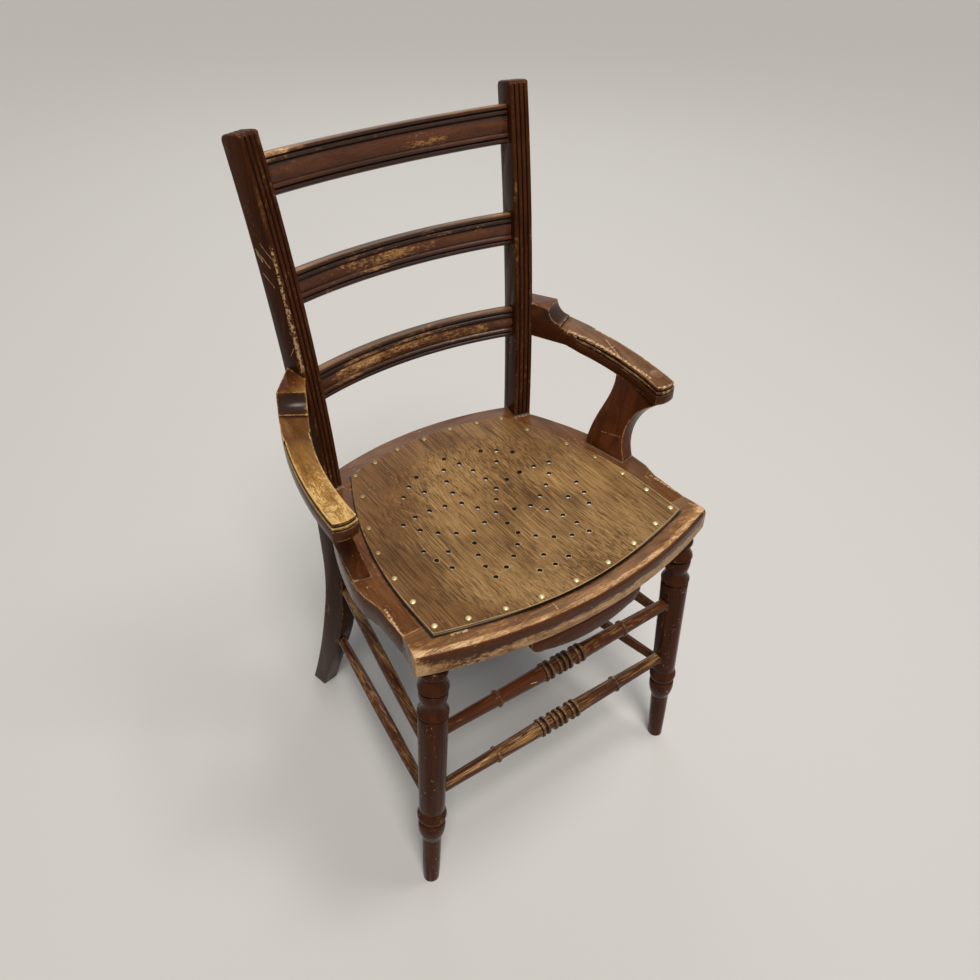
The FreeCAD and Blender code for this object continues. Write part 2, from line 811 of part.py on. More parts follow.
def arm_blank(post):
    """Bent arm with a raised, scooped block at the post and a reeded moulding round its front part."""
    high = seat_height + 2 * arm_block_height
    far = oversize

    def upright(plan):
        return plan.extrude(Vector(0, 0, high - seat_height)).translated(Vector(0, 0, seat_height))

    above = across([(-far, arm_top(-far)), (far, arm_top(far)), (far, 2 * high), (-far, 2 * high)])
    blank = upright(arm_plan(0)).cut(above.cut(arm_scoop())).cut(arm_underside())
    stop = arm_mould_stop
    for upper, lower, depth in arm_mould:
        band = across([
            (-far, arm_top(-far) - upper), (stop, arm_top(stop) - upper),
            (stop, arm_top(stop) - lower), (-far, arm_top(-far) - lower),
        ])
        blank = blank.cut(band.cut(upright(arm_plan(depth))))
    return blank.cut(post)


def arm_post_tenon(gap):
    """Tenon at the arm's rear end, which goes into the outer face of the post."""
    length, width, height = arm_tenon
    middle = (arm_block_height + arm_rear_underside) / 2
    depth = post_front(middle) + arm_tenon_setback
    box = Part.makeBox(
        length + gap + overrun, width + 2 * gap, height + 2 * gap,
        Vector(-length - gap, depth - gap, middle - height / 2 - gap),
    )
    return placed(box, post_frame)


def support_frame():
    """Frame of an arm support: x into its thickness, y towards the back, z up the leaning board."""
    base = Vector(seat_half_width - support_inset, post_y - support_lead, seat_height)
    turn = Rotation(Vector(0, 0, 1), support_turn).multiply(Rotation(Vector(0, 1, 0), support_lean))
    return Placement(base, turn)


def arm_support_blank():
    """Sawn scroll board that carries the arm: hollow in front, S-shaped behind."""
    points = [Vector(0, y, z) for y, z in support_back]
    heel, crown = points[0], points[-1]
    heel_low = heel - Vector(0, 0, support_tenon[2])
    top, middle, foot = [Vector(0, y, z) for y, z in support_hollow]
    toe = Vector(0, foot.y, heel_low.z)
    lip = Vector(0, support_lip[0], support_lip[1])
    lip_top = Vector(0, lip.y, crown.z)
    back = Part.BSplineCurve()
    back.interpolate(Points=points)
    profile = face_of([
        line(heel_low, heel), back.toShape(), line(crown, lip_top), line(lip_top, lip), line(lip, top),
        arc(top, middle, foot), line(foot, toe), line(toe, heel_low),
    ])
    board = placed(profile.extrude(Vector(support_thickness, 0, 0)), support_frame())
    side = 2 * oversize
    seat = Part.makeBox(side, side, oversize, Vector(0, -oversize, seat_height - oversize))
    return board.cut(seat).common(arm_underside())


def support_tenons(gap):
    """Tenons at the support's foot and top, for the side rail and the arm."""
    thickness, width, length = support_tenon
    inset = (support_thickness - thickness) / 2 - gap
    arm_level = (arm_top(arm_front_y) - arm_thickness - seat_height) / math.cos(math.radians(support_lean))
    foot_place, top_place = support_tenon_places
    tenons = []
    for place, low, high in (
        (foot_place, -length - gap, overrun),
        (top_place, arm_level - overrun, arm_level + length + gap),
    ):
        corner = Vector(inset, place - gap, low)
        box = Part.makeBox(thickness + 2 * gap, width + 2 * gap, high - low, corner)
        tenons.append(placed(box, support_frame()))
    return tenons


def rail_joint_tenon_box(gap):
    """Tenon at the front end of the side rail, which goes into the front rail."""
    width, length, thickness = rail_joint_tenon
    return Part.makeBox(
        width + 2 * gap, length + gap + overrun, thickness + 2 * gap,
        Vector(
            seat_half_width - rail_joint_inset - width - gap,
            joint_y - length - gap,
            rail_bottom + (rail_thickness - thickness) / 2 - gap,
        ),
    )


def seat_post_tenon_box(gap):
    """Tenon at the rear end of the side rail, which goes into the front face of the post."""
    width, length, height = seat_post_tenon
    box = Part.makeBox(
        width + 2 * gap, length + gap + overrun, height + 2 * gap,
        Vector(-(post_width + width) / 2 - gap, -overrun, -(rail_thickness + height) / 2 - gap),
    )
    return placed(box, post_frame)


def build():
    posts = both_sides(post_blank())
    front_legs = both_sides(front_leg_blank())
    nodes = {}
    post_cuts = []
    leg_cuts = []

    top_rise = back_height - slat_top_margin - top_slat_height / 2
    bottom_rise = slat_bottom_rise + slat_height / 2
    middle_rise = (bottom_rise + top_rise) / 2
    for name, rise, height in (
        ("bottom_slat", bottom_rise, slat_height),
        ("middle_slat", middle_rise, slat_height),
        ("top_slat", top_rise, top_slat_height),
    ):
        nodes[name], mortise = slat(rise, height)
        post_cuts.append(mortise)

    nodes["back_rail"], mortises = back_rail()
    post_cuts += mortises

    for name, height in (
        ("front_stretcher_upper", front_stretcher_upper_height),
        ("front_stretcher_lower", front_stretcher_lower_height),
    ):
        nodes[name], sockets = front_stretcher(height)
        leg_cuts += sockets

    for level, front_height, rear_height in (
        ("upper", side_stretcher_upper_front, side_stretcher_upper_rear),
        ("lower", side_stretcher_lower_front, side_stretcher_lower_rear),
    ):
        stretcher, (front_socket, rear_socket) = side_stretcher(front_height, rear_height)
        nodes["side_stretcher_right_" + level] = stretcher
        nodes["side_stretcher_left_" + level] = mirrored(stretcher)
        leg_cuts += both_sides(front_socket)
        post_cuts += both_sides(rear_socket)

    nodes["rear_stretcher"], sockets = rear_stretcher()
    post_cuts += sockets

    bed = panel_bed()
    front_rail_cuts = [bed] + both_sides(leg_tenon(glue_gap)) + both_sides(rail_joint_tenon_box(glue_gap))
    nodes["front_rail"] = front_rail_blank().cut(front_rail_cuts)
    nodes["front_apron"] = front_apron()
    side_rail = side_rail_blank().cut([posts[0], nodes["back_rail"]])
    side_rail = fused([side_rail, rail_joint_tenon_box(0), seat_post_tenon_box(0)])
    side_rail = side_rail.cut([bed] + support_tenons(glue_gap))
    nodes["side_rail_right"] = side_rail
    nodes["side_rail_left"] = mirrored(side_rail)
    nodes["back_rail"] = nodes["back_rail"].cut(bed)
    post_cuts += both_sides(seat_post_tenon_box(glue_gap))

    arm = fused([arm_blank(posts[0]), arm_post_tenon(0)])
    nodes["arm_right"] = arm.cut(support_tenons(glue_gap))
    nodes["arm_left"] = mirrored(nodes["arm_right"])
    nodes["arm_support_right"] = fused([arm_support_blank()] + support_tenons(0))
    nodes["arm_support_left"] = mirrored(nodes["arm_support_right"])
    post_cuts += both_sides(arm_post_tenon(glue_gap))

    for name, leg in zip(("front_leg_right", "front_leg_left"), front_legs):
        nodes[name] = leg.cut(leg_cuts)
    for name, post in zip(("rear_leg_right", "rear_leg_left"), posts):
        nodes[name] = post.cut(post_cuts)
    nodes["seat_panel"] = panel_blank().cut(hole_drills())
    return nodes


def centred(nodes):
    """Moves the chair so that the middle of its footprint box is at the origin."""
    boxes = [shape.optimalBoundingBox() for shape in nodes.values()]
    front = min(box.YMin for box in boxes)
    back = max(box.YMax for box in boxes)
    shift = Vector(0, -(front + back) / 2, 0)
    return {name: shape.translated(shift) for name, shape in nodes.items()}


os.makedirs("parts", exist_ok=True)
for name, shape in centred(build()).items():
    shape.exportStep("parts/" + name + ".step")
    print(name, len(shape.Solids), "solids", round(shape.Volume / 1000, 1), "cm3", shape.isValid())
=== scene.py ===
# %% [markdown]
# # An old open armchair
# The chair stands in a pale studio. Its joinery was made as solid parts, and this lesson gives it its
# looks: eased edges, stained and rubbed wood, a plywood seat, and the small brass tacks and wooden plugs.
# The imported parts are loaded first. They are the frame of the chair, and nothing here moves or resizes
# them.

# %% Load the parts
import math
import random

import bpy
from mathutils import Matrix, Vector


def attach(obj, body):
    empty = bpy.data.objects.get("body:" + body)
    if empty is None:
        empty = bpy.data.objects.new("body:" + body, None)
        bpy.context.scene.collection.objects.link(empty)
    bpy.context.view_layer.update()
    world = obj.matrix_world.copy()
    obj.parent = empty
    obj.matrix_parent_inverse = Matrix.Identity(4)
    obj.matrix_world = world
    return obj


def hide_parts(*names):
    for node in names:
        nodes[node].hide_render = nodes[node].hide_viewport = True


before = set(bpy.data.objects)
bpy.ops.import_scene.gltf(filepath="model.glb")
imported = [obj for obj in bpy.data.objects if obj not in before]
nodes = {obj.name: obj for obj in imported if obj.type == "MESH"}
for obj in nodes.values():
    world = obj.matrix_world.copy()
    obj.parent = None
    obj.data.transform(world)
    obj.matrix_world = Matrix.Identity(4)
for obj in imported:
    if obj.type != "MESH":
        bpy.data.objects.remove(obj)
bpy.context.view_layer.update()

scene = bpy.context.scene
scene.view_settings.view_transform = "Standard"

# %% [markdown]
# ## Camera
# The chair is seen from its front left and from above, the way a person looks down at it. A camera can be
# aimed with a constraint, but then its small roll is lost. Here its three axes are worked out from yaw,
# pitch and roll and written straight into its matrix.

# %% Camera
camera_place = Vector((-0.5260, -0.7295, 1.1600))
yaw, pitch, roll = (math.radians(angle) for angle in (36.382, -38.791, 1.223))
image_width = 980
focal_pixels = 940.1

ahead = Vector((math.sin(yaw) * math.cos(pitch), math.cos(yaw) * math.cos(pitch), math.sin(pitch)))
level = Vector((math.cos(yaw), -math.sin(yaw), 0))
upright = level.cross(ahead)
right = math.cos(roll) * level + math.sin(roll) * upright
up = math.cos(roll) * upright - math.sin(roll) * level

camera_data = bpy.data.cameras.new("camera")
camera_data.sensor_width = 36
camera_data.lens = camera_data.sensor_width * focal_pixels / image_width
camera = bpy.data.objects.new("camera", camera_data)
camera.matrix_world = Matrix((
    (right.x, up.x, -ahead.x, camera_place.x),
    (right.y, up.y, -ahead.y, camera_place.y),
    (right.z, up.z, -ahead.z, camera_place.z),
    (0, 0, 0, 1),
))
scene.collection.objects.link(camera)
scene.camera = camera
print("lens", round(camera_data.lens, 2), "mm")

# %% [markdown]
# ## Node helpers
# Every material below is a tree of nodes. A few small helpers keep the trees readable: one puts a node in
# place and wires its inputs, one does a sum, one mixes two colours, and one remaps a value softly.

# %% Node helpers


def put(tree, kind, inputs=None, **settings):
    """Adds a node. Each input gets a plain value, or is wired to another node's output."""
    made = tree.nodes.new(kind)
    for name, value in settings.items():
        setattr(made, name, value)
    for name, value in (inputs or {}).items():
        if isinstance(value, bpy.types.NodeSocket):
            tree.links.new(value, made.inputs[name])
        else:
            made.inputs[name].default_value = value
    return made


def calc(tree, operation, a, b=0.0, clamp=False):
    return put(tree, "ShaderNodeMath", {0: a, 1: b}, operation=operation, use_clamp=clamp).outputs[0]


def vector_calc(tree, operation, a, b=(0, 0, 0), output=0):
    return put(tree, "ShaderNodeVectorMath", {0: a, 1: b}, operation=operation).outputs[output]


def scaled(tree, vector, factor):
    return put(tree, "ShaderNodeVectorMath", {0: vector, "Scale": factor}, operation="SCALE").outputs[0]


def mixed(tree, share, a, b):
    """Colour a where share is 0 and colour b where it is 1."""
    return put(tree, "ShaderNodeMix", {0: share, 6: a, 7: b}, data_type="RGBA").outputs[2]


def ramp(tree, value, low, high):
    """0 at low, 1 at high and a soft step between."""
    inputs = {0: value, 1: low, 2: high}
    return put(tree, "ShaderNodeMapRange", inputs, interpolation_type="SMOOTHSTEP").outputs[0]


def noise(tree, vector, scale, detail=2.0, roughness=0.5, distortion=0.0):
    inputs = {
        "Vector": vector, "Scale": scale, "Detail": detail, "Roughness": roughness, "Distortion": distortion,
    }
    return put(tree, "ShaderNodeTexNoise", inputs).outputs[0]


def stretched(tree, vector, along):
    """Squeezes a pattern so that it is drawn out along x."""
    return vector_calc(tree, "MULTIPLY", vector, (along, 1, 1))


def flattened(tree, place):
    """The place with its height taken out, for patterns that are drawn in plan."""
    return vector_calc(tree, "MULTIPLY", place, (1, 1, 0))


def new_group(name, inputs, outputs):
    """An empty node group with its sockets; returns the group, its inputs to read and its outputs to fill."""
    group = bpy.data.node_groups.new(name, "ShaderNodeTree")
    for socket, kind, value in inputs:
        made = group.interface.new_socket(socket, in_out="INPUT", socket_type="NodeSocket" + kind)
        made.default_value = value
    for socket in outputs:
        group.interface.new_socket(socket, in_out="OUTPUT", socket_type="NodeSocketFloat")
    return group, group.nodes.new("NodeGroupInput").outputs, group.nodes.new("NodeGroupOutput").inputs


def use(tree, group, inputs):
    """Places a group in a tree and returns its outputs."""
    placed = put(tree, "ShaderNodeGroup", node_tree=group)
    for name, value in inputs.items():
        if isinstance(value, bpy.types.NodeSocket):
            tree.links.new(value, placed.inputs[name])
        else:
            placed.inputs[name].default_value = value
    return placed.outputs


# %% [markdown]
# ## Stage
# The light is a plain one: a soft sun from high up at the front left, a lamp above the seat, a weak broad
# lamp behind the chair that gives the varnish something to mirror, and a dim even sky. Together they light
# a level surface about once, so a colour shows as it is written. The floor is a large pale sheet, and the
# sky behind it has the tone of its far end, so that no horizon draws the eye. To the light that it throws
# back, the floor is darker, as a wooden floor is, so that the undersides keep their shadows.

# %% Stage
floor_color = (0.64, 0.62, 0.59, 1)
floor_bounce = (0.22, 0.20, 0.17, 1)
sky_color = (0.95, 0.97, 1.0, 1)
sky_strength = 0.12
far_color = (0.50, 0.48, 0.45, 1)
floor_size = 16


def looked_at(tree):
    """1 for what the camera sees, by itself or in a mirror or through glass, and 0 for light on the chair."""
    ray = put(tree, "ShaderNodeLightPath").outputs
    mirrored = calc(tree, "MAXIMUM", ray["Is Glossy Ray"], ray["Is Transmission Ray"])
    return calc(tree, "MAXIMUM", ray["Is Camera Ray"], mirrored)


bpy.ops.object.select_all(action="DESELECT")
bpy.ops.mesh.primitive_plane_add(size=floor_size)
floor = bpy.context.object
floor.name = "studio_floor"
floor_material = bpy.data.materials.new("studio_floor")
floor_material.use_nodes = True
floor_shader = floor_material.node_tree.nodes["Principled BSDF"]
floor_shader.inputs["Roughness"].default_value = 0.8
floor_tone = mixed(floor_material.node_tree, looked_at(floor_material.node_tree), floor_bounce, floor_color)
floor_material.node_tree.links.new(floor_tone, floor_shader.inputs["Base Color"])
floor.data.materials.append(floor_material)

world = bpy.data.worlds.new("studio")
world.use_nodes = True
scene.world = world
background = world.node_tree.nodes["Background"]
seen_sky = put(world.node_tree, "ShaderNodeBackground", {"Color": far_color, "Strength": 1.0})
background.inputs["Color"].default_value = sky_color
background.inputs["Strength"].default_value = sky_strength
sky_switch = put(world.node_tree, "ShaderNodeMixShader", {
    0: looked_at(world.node_tree), 1: background.outputs[0], 2: seen_sky.outputs[0],
})
world.node_tree.links.new(sky_switch.outputs[0], world.node_tree.nodes["World Output"].inputs[0])


def add_lamp(kind, name, place, aim, color, **settings):
    lamp = bpy.data.lights.new(name, kind)
    lamp.color = color
    for setting, value in settings.items():
        setattr(lamp, setting, value)
    made = bpy.data.objects.new(name, lamp)
    made.location = place
    made.rotation_euler = (Vector(aim) - Vector(place)).to_track_quat("-Z", "Y").to_euler()
    scene.collection.objects.link(made)


seat_middle = (0, 0, 0.43)
sun_width = math.radians(20)
warm = (1.0, 0.965, 0.92)
add_lamp("SUN", "overhead", (-0.60, -1.30, 2.9), seat_middle, warm, energy=2.25, angle=sun_width)
add_lamp("AREA", "ceiling", (0.45, -0.35, 2.45), seat_middle, (1.0, 0.98, 0.95), energy=15, size=0.5)
add_lamp("AREA", "behind", (1.3, 2.0, 2.2), seat_middle, (0.93, 0.96, 1.0), energy=14, size=2.0)
print("floor", floor_size, "m, sky", sky_strength)

# %% [markdown]
# ## Shared effects
# Old furniture wears in a few typical ways, and each is a node group that the woods below share.
# *Wood grain* draws fibres, a broader figure and pores along x.
# *Edges and grooves* finds convex edges by looking into the wood, and grooves by looking out of it.
# *Rubbed away* breaks a soft mask up into the ragged patches in which varnish goes.
# *Spot* is a soft ellipsoid at a given place, for marks that belong to one place on the chair.
# *Stroke* is a line from one point to another that wavers a little, for scratches and chipped edges, and for
# painted shadow and painted highlight lines.
# *Flecks* are small separate chips, in clusters.

# %% Wood grain group
grain_group, given, made = new_group(
    "wood_grain",
    [("Vector", "Vector", (0, 0, 0)), ("Fibre Scale", "Float", 0.9), ("Figure Scale", "Float", 0.07)],
    ["Fibre", "Figure", "Pores"],
)
tree = grain_group
fibre = noise(tree, stretched(tree, given["Vector"], 0.025), given["Fibre Scale"], 4, 0.65)
tree.links.new(ramp(tree, fibre, 0.3, 0.7), made["Fibre"])
figure = noise(tree, stretched(tree, given["Vector"], 0.12), given["Figure Scale"], 3, 0.55, 0.8)
tree.links.new(ramp(tree, figure, 0.3, 0.7), made["Figure"])
pore_scale = calc(tree, "MULTIPLY", given["Fibre Scale"], 1.7)
pores = noise(tree, stretched(tree, given["Vector"], 0.06), pore_scale, 1, 0.5)
tree.links.new(ramp(tree, pores, 0.60, 0.72), made["Pores"])

# %% Edges and grooves group
edge_group, given, made = new_group(
    "edges_and_grooves",
    [("Edge Reach", "Float", 0.003), ("Groove Reach", "Float", 0.004)],
    ["Edge", "Groove"],
)
tree = edge_group
for socket, inside, low, high in (("Edge", True, 0.08, 0.45), ("Groove", False, 0.08, 0.42)):
    seen = put(
        tree, "ShaderNodeAmbientOcclusion", {"Distance": given[socket + " Reach"]},
        inside=inside, only_local=True, samples=8,
    )
    hidden = calc(tree, "SUBTRACT", 1.0, seen.outputs["AO"])
    tree.links.new(ramp(tree, hidden, low, high), made[socket])

# %% Rubbed away group
rubbed_group, given, made = new_group(
    "rubbed_away",
    [
        ("Mask", "Float", 0.0), ("Vector", "Vector", (0, 0, 0)), ("Stretch", "Float", 0.35),
        ("Patch Scale", "Float", 0.06), ("Chip Scale", "Float", 0.45), ("Ragged", "Float", 3.0),
        ("Softness", "Float", 0.08),
    ],
    ["Worn"],
)
tree = rubbed_group
squeeze = put(tree, "ShaderNodeCombineXYZ", {"X": given["Stretch"], "Y": 1.0, "Z": 1.0}).outputs[0]
drawn_out = vector_calc(tree, "MULTIPLY", given["Vector"], squeeze)
patches = noise(tree, drawn_out, given["Patch Scale"], 3, 0.6)
chips = noise(tree, drawn_out, given["Chip Scale"], 3, 0.65)
broken = calc(tree, "ADD", calc(tree, "MULTIPLY", patches, 0.5), calc(tree, "MULTIPLY", chips, 0.5))
broken = calc(tree, "MULTIPLY", calc(tree, "SUBTRACT", broken, 0.5), given["Ragged"])
wear_level = calc(tree, "ADD", given["Mask"], broken)
low = calc(tree, "SUBTRACT", 0.5, given["Softness"])
high = calc(tree, "ADD", 0.5, given["Softness"])
tree.links.new(ramp(tree, wear_level, low, high), made["Worn"])

# %% Spot group
spot_group, given, made = new_group(
    "spot",
    [("Vector", "Vector", (0, 0, 0)), ("Centre", "Vector", (0, 0, 0)), ("Size", "Vector", (1, 1, 1))],
    ["Mask"],
)
tree = spot_group
offset = vector_calc(tree, "SUBTRACT", given["Vector"], given["Centre"])
share = vector_calc(tree, "DIVIDE", offset, given["Size"])
away = vector_calc(tree, "LENGTH", share, output="Value")
tree.links.new(ramp(tree, away, 1.0, 0.25), made["Mask"])

# %% Stroke group
stroke_group, given, made = new_group(
    "stroke",
    [
        ("Vector", "Vector", (0, 0, 0)), ("Start", "Vector", (0, 0, 0)), ("Reach", "Vector", (0, 0, 1)),
        ("Width", "Float", 0.001), ("Broken", "Float", 0.5),
    ],
    ["Mask"],
)
tree = stroke_group
waver_scale, waver_size, gap_scale = 260, 0.002, 330
waver = {"Vector": given["Vector"], "Scale": waver_scale, "Detail": 2}
waver = put(tree, "ShaderNodeTexNoise", waver).outputs["Color"]
waver = scaled(tree, vector_calc(tree, "SUBTRACT", waver, (0.5, 0.5, 0.5)), waver_size)
bent = vector_calc(tree, "ADD", given["Vector"], waver)
offset = vector_calc(tree, "SUBTRACT", bent, given["Start"])
run = vector_calc(tree, "DOT_PRODUCT", offset, given["Reach"], "Value")
whole = vector_calc(tree, "DOT_PRODUCT", given["Reach"], given["Reach"], "Value")
share = calc(tree, "DIVIDE", run, whole, clamp=True)
nearest = scaled(tree, given["Reach"], share)
away = vector_calc(tree, "DISTANCE", offset, nearest, "Value")
gaps = ramp(tree, noise(tree, given["Vector"], gap_scale, 3, 0.7), 0.58, 0.42)
gaps = calc(tree, "MULTIPLY", gaps, given["Broken"])
kept_share = calc(tree, "MAXIMUM", calc(tree, "SUBTRACT", 1.0, gaps), 0.05)
width = calc(tree, "MULTIPLY", given["Width"], kept_share)
tree.links.new(ramp(tree, away, width, calc(tree, "MULTIPLY", width, 0.5)), made["Mask"])

# %% Flecks group
fleck_group, given, made = new_group(
    "flecks",
    [
        ("Vector", "Vector", (0, 0, 0)), ("Amount", "Float", 0.3), ("Stretch", "Float", 0.35),
        ("Scale", "Float", 0.22),
    ],
    ["Mask"],
)
tree = fleck_group
squeeze = put(tree, "ShaderNodeCombineXYZ", {"X": given["Stretch"], "Y": 1.0, "Z": 1.0}).outputs[0]
drawn_out = vector_calc(tree, "MULTIPLY", given["Vector"], squeeze)
grains = noise(tree, drawn_out, given["Scale"], 4, 0.62, 0.6)
clusters = noise(tree, given["Vector"], calc(tree, "MULTIPLY", given["Scale"], 0.08), 2, 0.5)
clusters = calc(tree, "ADD", calc(tree, "MULTIPLY", ramp(tree, clusters, 0.40, 0.68), 1.3), 0.25)
limit = calc(tree, "MULTIPLY", calc(tree, "MULTIPLY", given["Amount"], clusters), 0.20)
limit = calc(tree, "SUBTRACT", 0.80, limit)
tree.links.new(ramp(tree, grains, limit, calc(tree, "ADD", limit, 0.025)), made["Mask"])
print("groups:", ", ".join(group.name for group in bpy.data.node_groups))

# %% [markdown]
# ## Stained wood
# All of the frame is one wood under a red-brown stain and a varnish with some gloss. What differs from
# piece to piece is the way that the grain runs and how the piece was worn: hands have rubbed the arms to a
# honey colour, knocks have bared the edges, and dirt has settled in the reeds. Grooves and reeds are also
# painted darker, as painted shade. So one function builds the material, and each piece gives it its own
# values. *Polish* is the smooth honey of a top that hands have thinned. *Edge*, *rubbed* and the marks break
# through in two stages, first to honey, then to bare wood.
# *Flecks* are single chips. Worn places are duller and a little lower.

# %% Stained wood
stain_dark = (0.052, 0.0140, 0.0046, 1)
stain_red = (0.112, 0.0330, 0.0105, 1)
honey_dark = (0.170, 0.072, 0.022, 1)
honey = (0.420, 0.212, 0.074, 1)
bare_dark = (0.500, 0.285, 0.130, 1)
bare_wood = (0.800, 0.540, 0.300, 1)
# Dark colour for the dirt in the pores, and also for painted shade and painted shadow: in grooves and reeds,
# low on the cut faces of the seat panel, on the rims of the tacks and along the panel's edge.
dirt_and_shade = (0.0085, 0.0050, 0.0036, 1)
# Colour of the darkened spots in the reeds and scoops: dirt and painted shade.
soil_and_shade = (0.022, 0.0145, 0.0115, 1)
dust_gray = (0.300, 0.270, 0.230, 1)
bare_lag = 0.22  # how much more wear it takes to reach bare wood
grain_turns = {"x": (0, 0, 0), "y": (0, 0, math.radians(-90)), "z": (0, math.radians(90), 0)}


def band(tree, value, low, rise, fall, high):
    """1 between rise and fall, and 0 below low and above high."""
    return calc(tree, "SUBTRACT", ramp(tree, value, low, rise), ramp(tree, value, fall, high))


def total(tree, terms):
    """Sum of (socket, weight) pairs."""
    added = 0.0
    for socket, weight in terms:
        added = calc(tree, "ADD", calc(tree, "MULTIPLY", socket, weight), added)
    return added


def spots(tree, place, marks):
    """Sum of soft spots, each given as (centre, size, strength) in metres."""
    return total(tree, [
        (use(tree, spot_group, {"Vector": place, "Centre": centre, "Size": size})["Mask"], strength)
        for centre, size, strength in marks
    ])


def strokes(tree, place, lines, broken=0.5):
    """Sum of strokes, each given as (start, end, width, strength) in metres."""
    return total(tree, [
        (use(tree, stroke_group, {
            "Vector": place, "Start": start, "Reach": Vector(end) - Vector(start), "Width": width,
            "Broken": broken,
        })["Mask"], strength)
        for start, end, width, strength in lines
    ])


def stained_wood(
    name, grain, dark=stain_dark, red=stain_red, edge=0.6, polish=0.0, rubbed=0.0, grime_and_shade=0.95,
    edge_reach=0.003, groove_reach=0.004, gloss=0.21, shine=0.2, stretch=0.35, flecks=0.0, dust=0.0,
    level=0.6, marks=(), edge_marks=(), chips_and_highlights=(), scratches=(), kept=(), shaded_and_soiled=(), panel_shadow_lines=(),
    local_wear=None,
    pale=(honey_dark, honey, bare_dark, bare_wood),
):
    """Wood under stain and varnish. Marks are spots that are worn more, on any face or on edges only. Chips,
    some of them painted highlights, and scratches are strokes, broken or fine. In the kept spots the varnish
    of a top is whole, and the shaded spots are painted dark, partly as soiling and partly as painted shade.
    Panel shadow lines are strokes of painted shadow on level wood. Pale is the run of colours from thin
    varnish to bare wood."""
    material = bpy.data.materials.new(name)
    material.use_nodes = True
    tree = material.node_tree
    shader = tree.nodes["Principled BSDF"]
    shader.inputs["Specular IOR Level"].default_value = shine
    place = put(tree, "ShaderNodeTexCoord").outputs["Object"]
    turn = {"Vector": place, "Rotation": grain_turns[grain], "Scale": (1000, 1000, 1000)}
    along = put(tree, "ShaderNodeMapping", turn).outputs[0]
    wood = use(tree, grain_group, {"Vector": along})
    found = use(tree, edge_group, {"Edge Reach": edge_reach, "Groove Reach": groove_reach})
    facing = put(tree, "ShaderNodeNewGeometry").outputs["Normal"]
    lift = put(tree, "ShaderNodeSeparateXYZ", {0: facing}).outputs["Z"]

    edge_weight = calc(tree, "ADD", edge, spots(tree, place, edge_marks)) if edge_marks else edge
    terms = [(found["Edge"], edge_weight)]
    if marks:
        terms.append((spots(tree, place, marks), 1.0))
    if local_wear:
        terms.append((local_wear(tree, place, lift), 1.0))
    mask = calc(tree, "ADD", total(tree, terms), rubbed)
    thin = use(tree, rubbed_group, {
        "Mask": mask, "Vector": along, "Stretch": stretch, "Softness": 0.2,
    })["Worn"]
    bared = use(tree, rubbed_group, {
        "Mask": calc(tree, "SUBTRACT", mask, bare_lag), "Vector": along, "Stretch": stretch,
        "Patch Scale": 0.12, "Chip Scale": 0.8,
    })["Worn"]
    if flecks:
        chips = use(tree, fleck_group, {
            "Vector": along, "Amount": flecks, "Stretch": 0.4, "Scale": 0.42,
        })["Mask"]
        bared = calc(tree, "MAXIMUM", bared, calc(tree, "MULTIPLY", chips, 0.8))
    if chips_and_highlights:
        bared = calc(tree, "MAXIMUM", bared, strokes(tree, place, chips_and_highlights, broken=1.0))
    if scratches:
        bared = calc(tree, "MAXIMUM", bared, strokes(tree, place, scratches))

    tone = total(tree, [(wood["Fibre"], 0.4), (wood["Figure"], 0.6)])
    color = mixed(tree, tone, dark, red)
    honeyed = mixed(tree, tone, pale[0], pale[1])
    if polish:
        smooth = ramp(tree, noise(tree, along, 0.03, 2, 0.5), 0.2, 0.8)
        smooth = calc(tree, "ADD", calc(tree, "MULTIPLY", smooth, 0.7), 0.65)
        on_top = calc(tree, "MULTIPLY", ramp(tree, lift, level, 0.97), polish)
        smooth = calc(tree, "MULTIPLY", smooth, on_top, clamp=True)
        if kept:
            whole = calc(tree, "SUBTRACT", 1.0, spots(tree, place, kept), clamp=True)
            smooth = calc(tree, "MULTIPLY", smooth, whole)
        color = mixed(tree, smooth, color, honeyed)
    # The given spots are painted dark, as dirt and painted shade.
    if shaded_and_soiled:
        color = mixed(tree, calc(tree, "MINIMUM", spots(tree, place, shaded_and_soiled), 0.8), color, soil_and_shade)
    color = mixed(tree, thin, color, mixed(tree, 0.5, honeyed, pale[1]))
    bare = mixed(tree, wood["Fibre"], pale[2], pale[3])
    color = mixed(tree, calc(tree, "MULTIPLY", bared, 0.95), color, bare)
    color = mixed(tree, calc(tree, "MULTIPLY", wood["Pores"], 0.35), color, dirt_and_shade)
    # Grooves are painted dark, partly for the dirt in them and partly as painted shade.
    color = mixed(tree, calc(tree, "MULTIPLY", found["Groove"], grime_and_shade), color, dirt_and_shade)
    # Painted shadow: dark strokes on the rail where the seat panel's rim shades it.
    if panel_shadow_lines:
        lines = strokes(tree, flattened(tree, place), panel_shadow_lines, broken=0.3)
        color = mixed(tree, calc(tree, "MINIMUM", lines, 0.88), color, dirt_and_shade)
    if dust:
        height = put(tree, "ShaderNodeSeparateXYZ", {0: place}).outputs["Z"]
        line = band(tree, height, 0.4295, 0.4302, 0.4310, 0.4330)
        color = mixed(tree, calc(tree, "MULTIPLY", line, dust), color, dust_gray)
    tree.links.new(color, shader.inputs["Base Color"])

    dull = total(tree, [(bared, 0.3), (thin, 0.08), (wood["Fibre"], 0.05), (found["Groove"], 0.25)])
    tree.links.new(calc(tree, "ADD", dull, gloss), shader.inputs["Roughness"])
    height = total(tree, [(wood["Fibre"], 0.06), (bared, -1.0), (thin, -0.25)])
    bump = put(tree, "ShaderNodeBump", {"Strength": 0.45, "Distance": 0.0004, "Height": height})
    tree.links.new(bump.outputs[0], shader.inputs["Normal"])
    return material


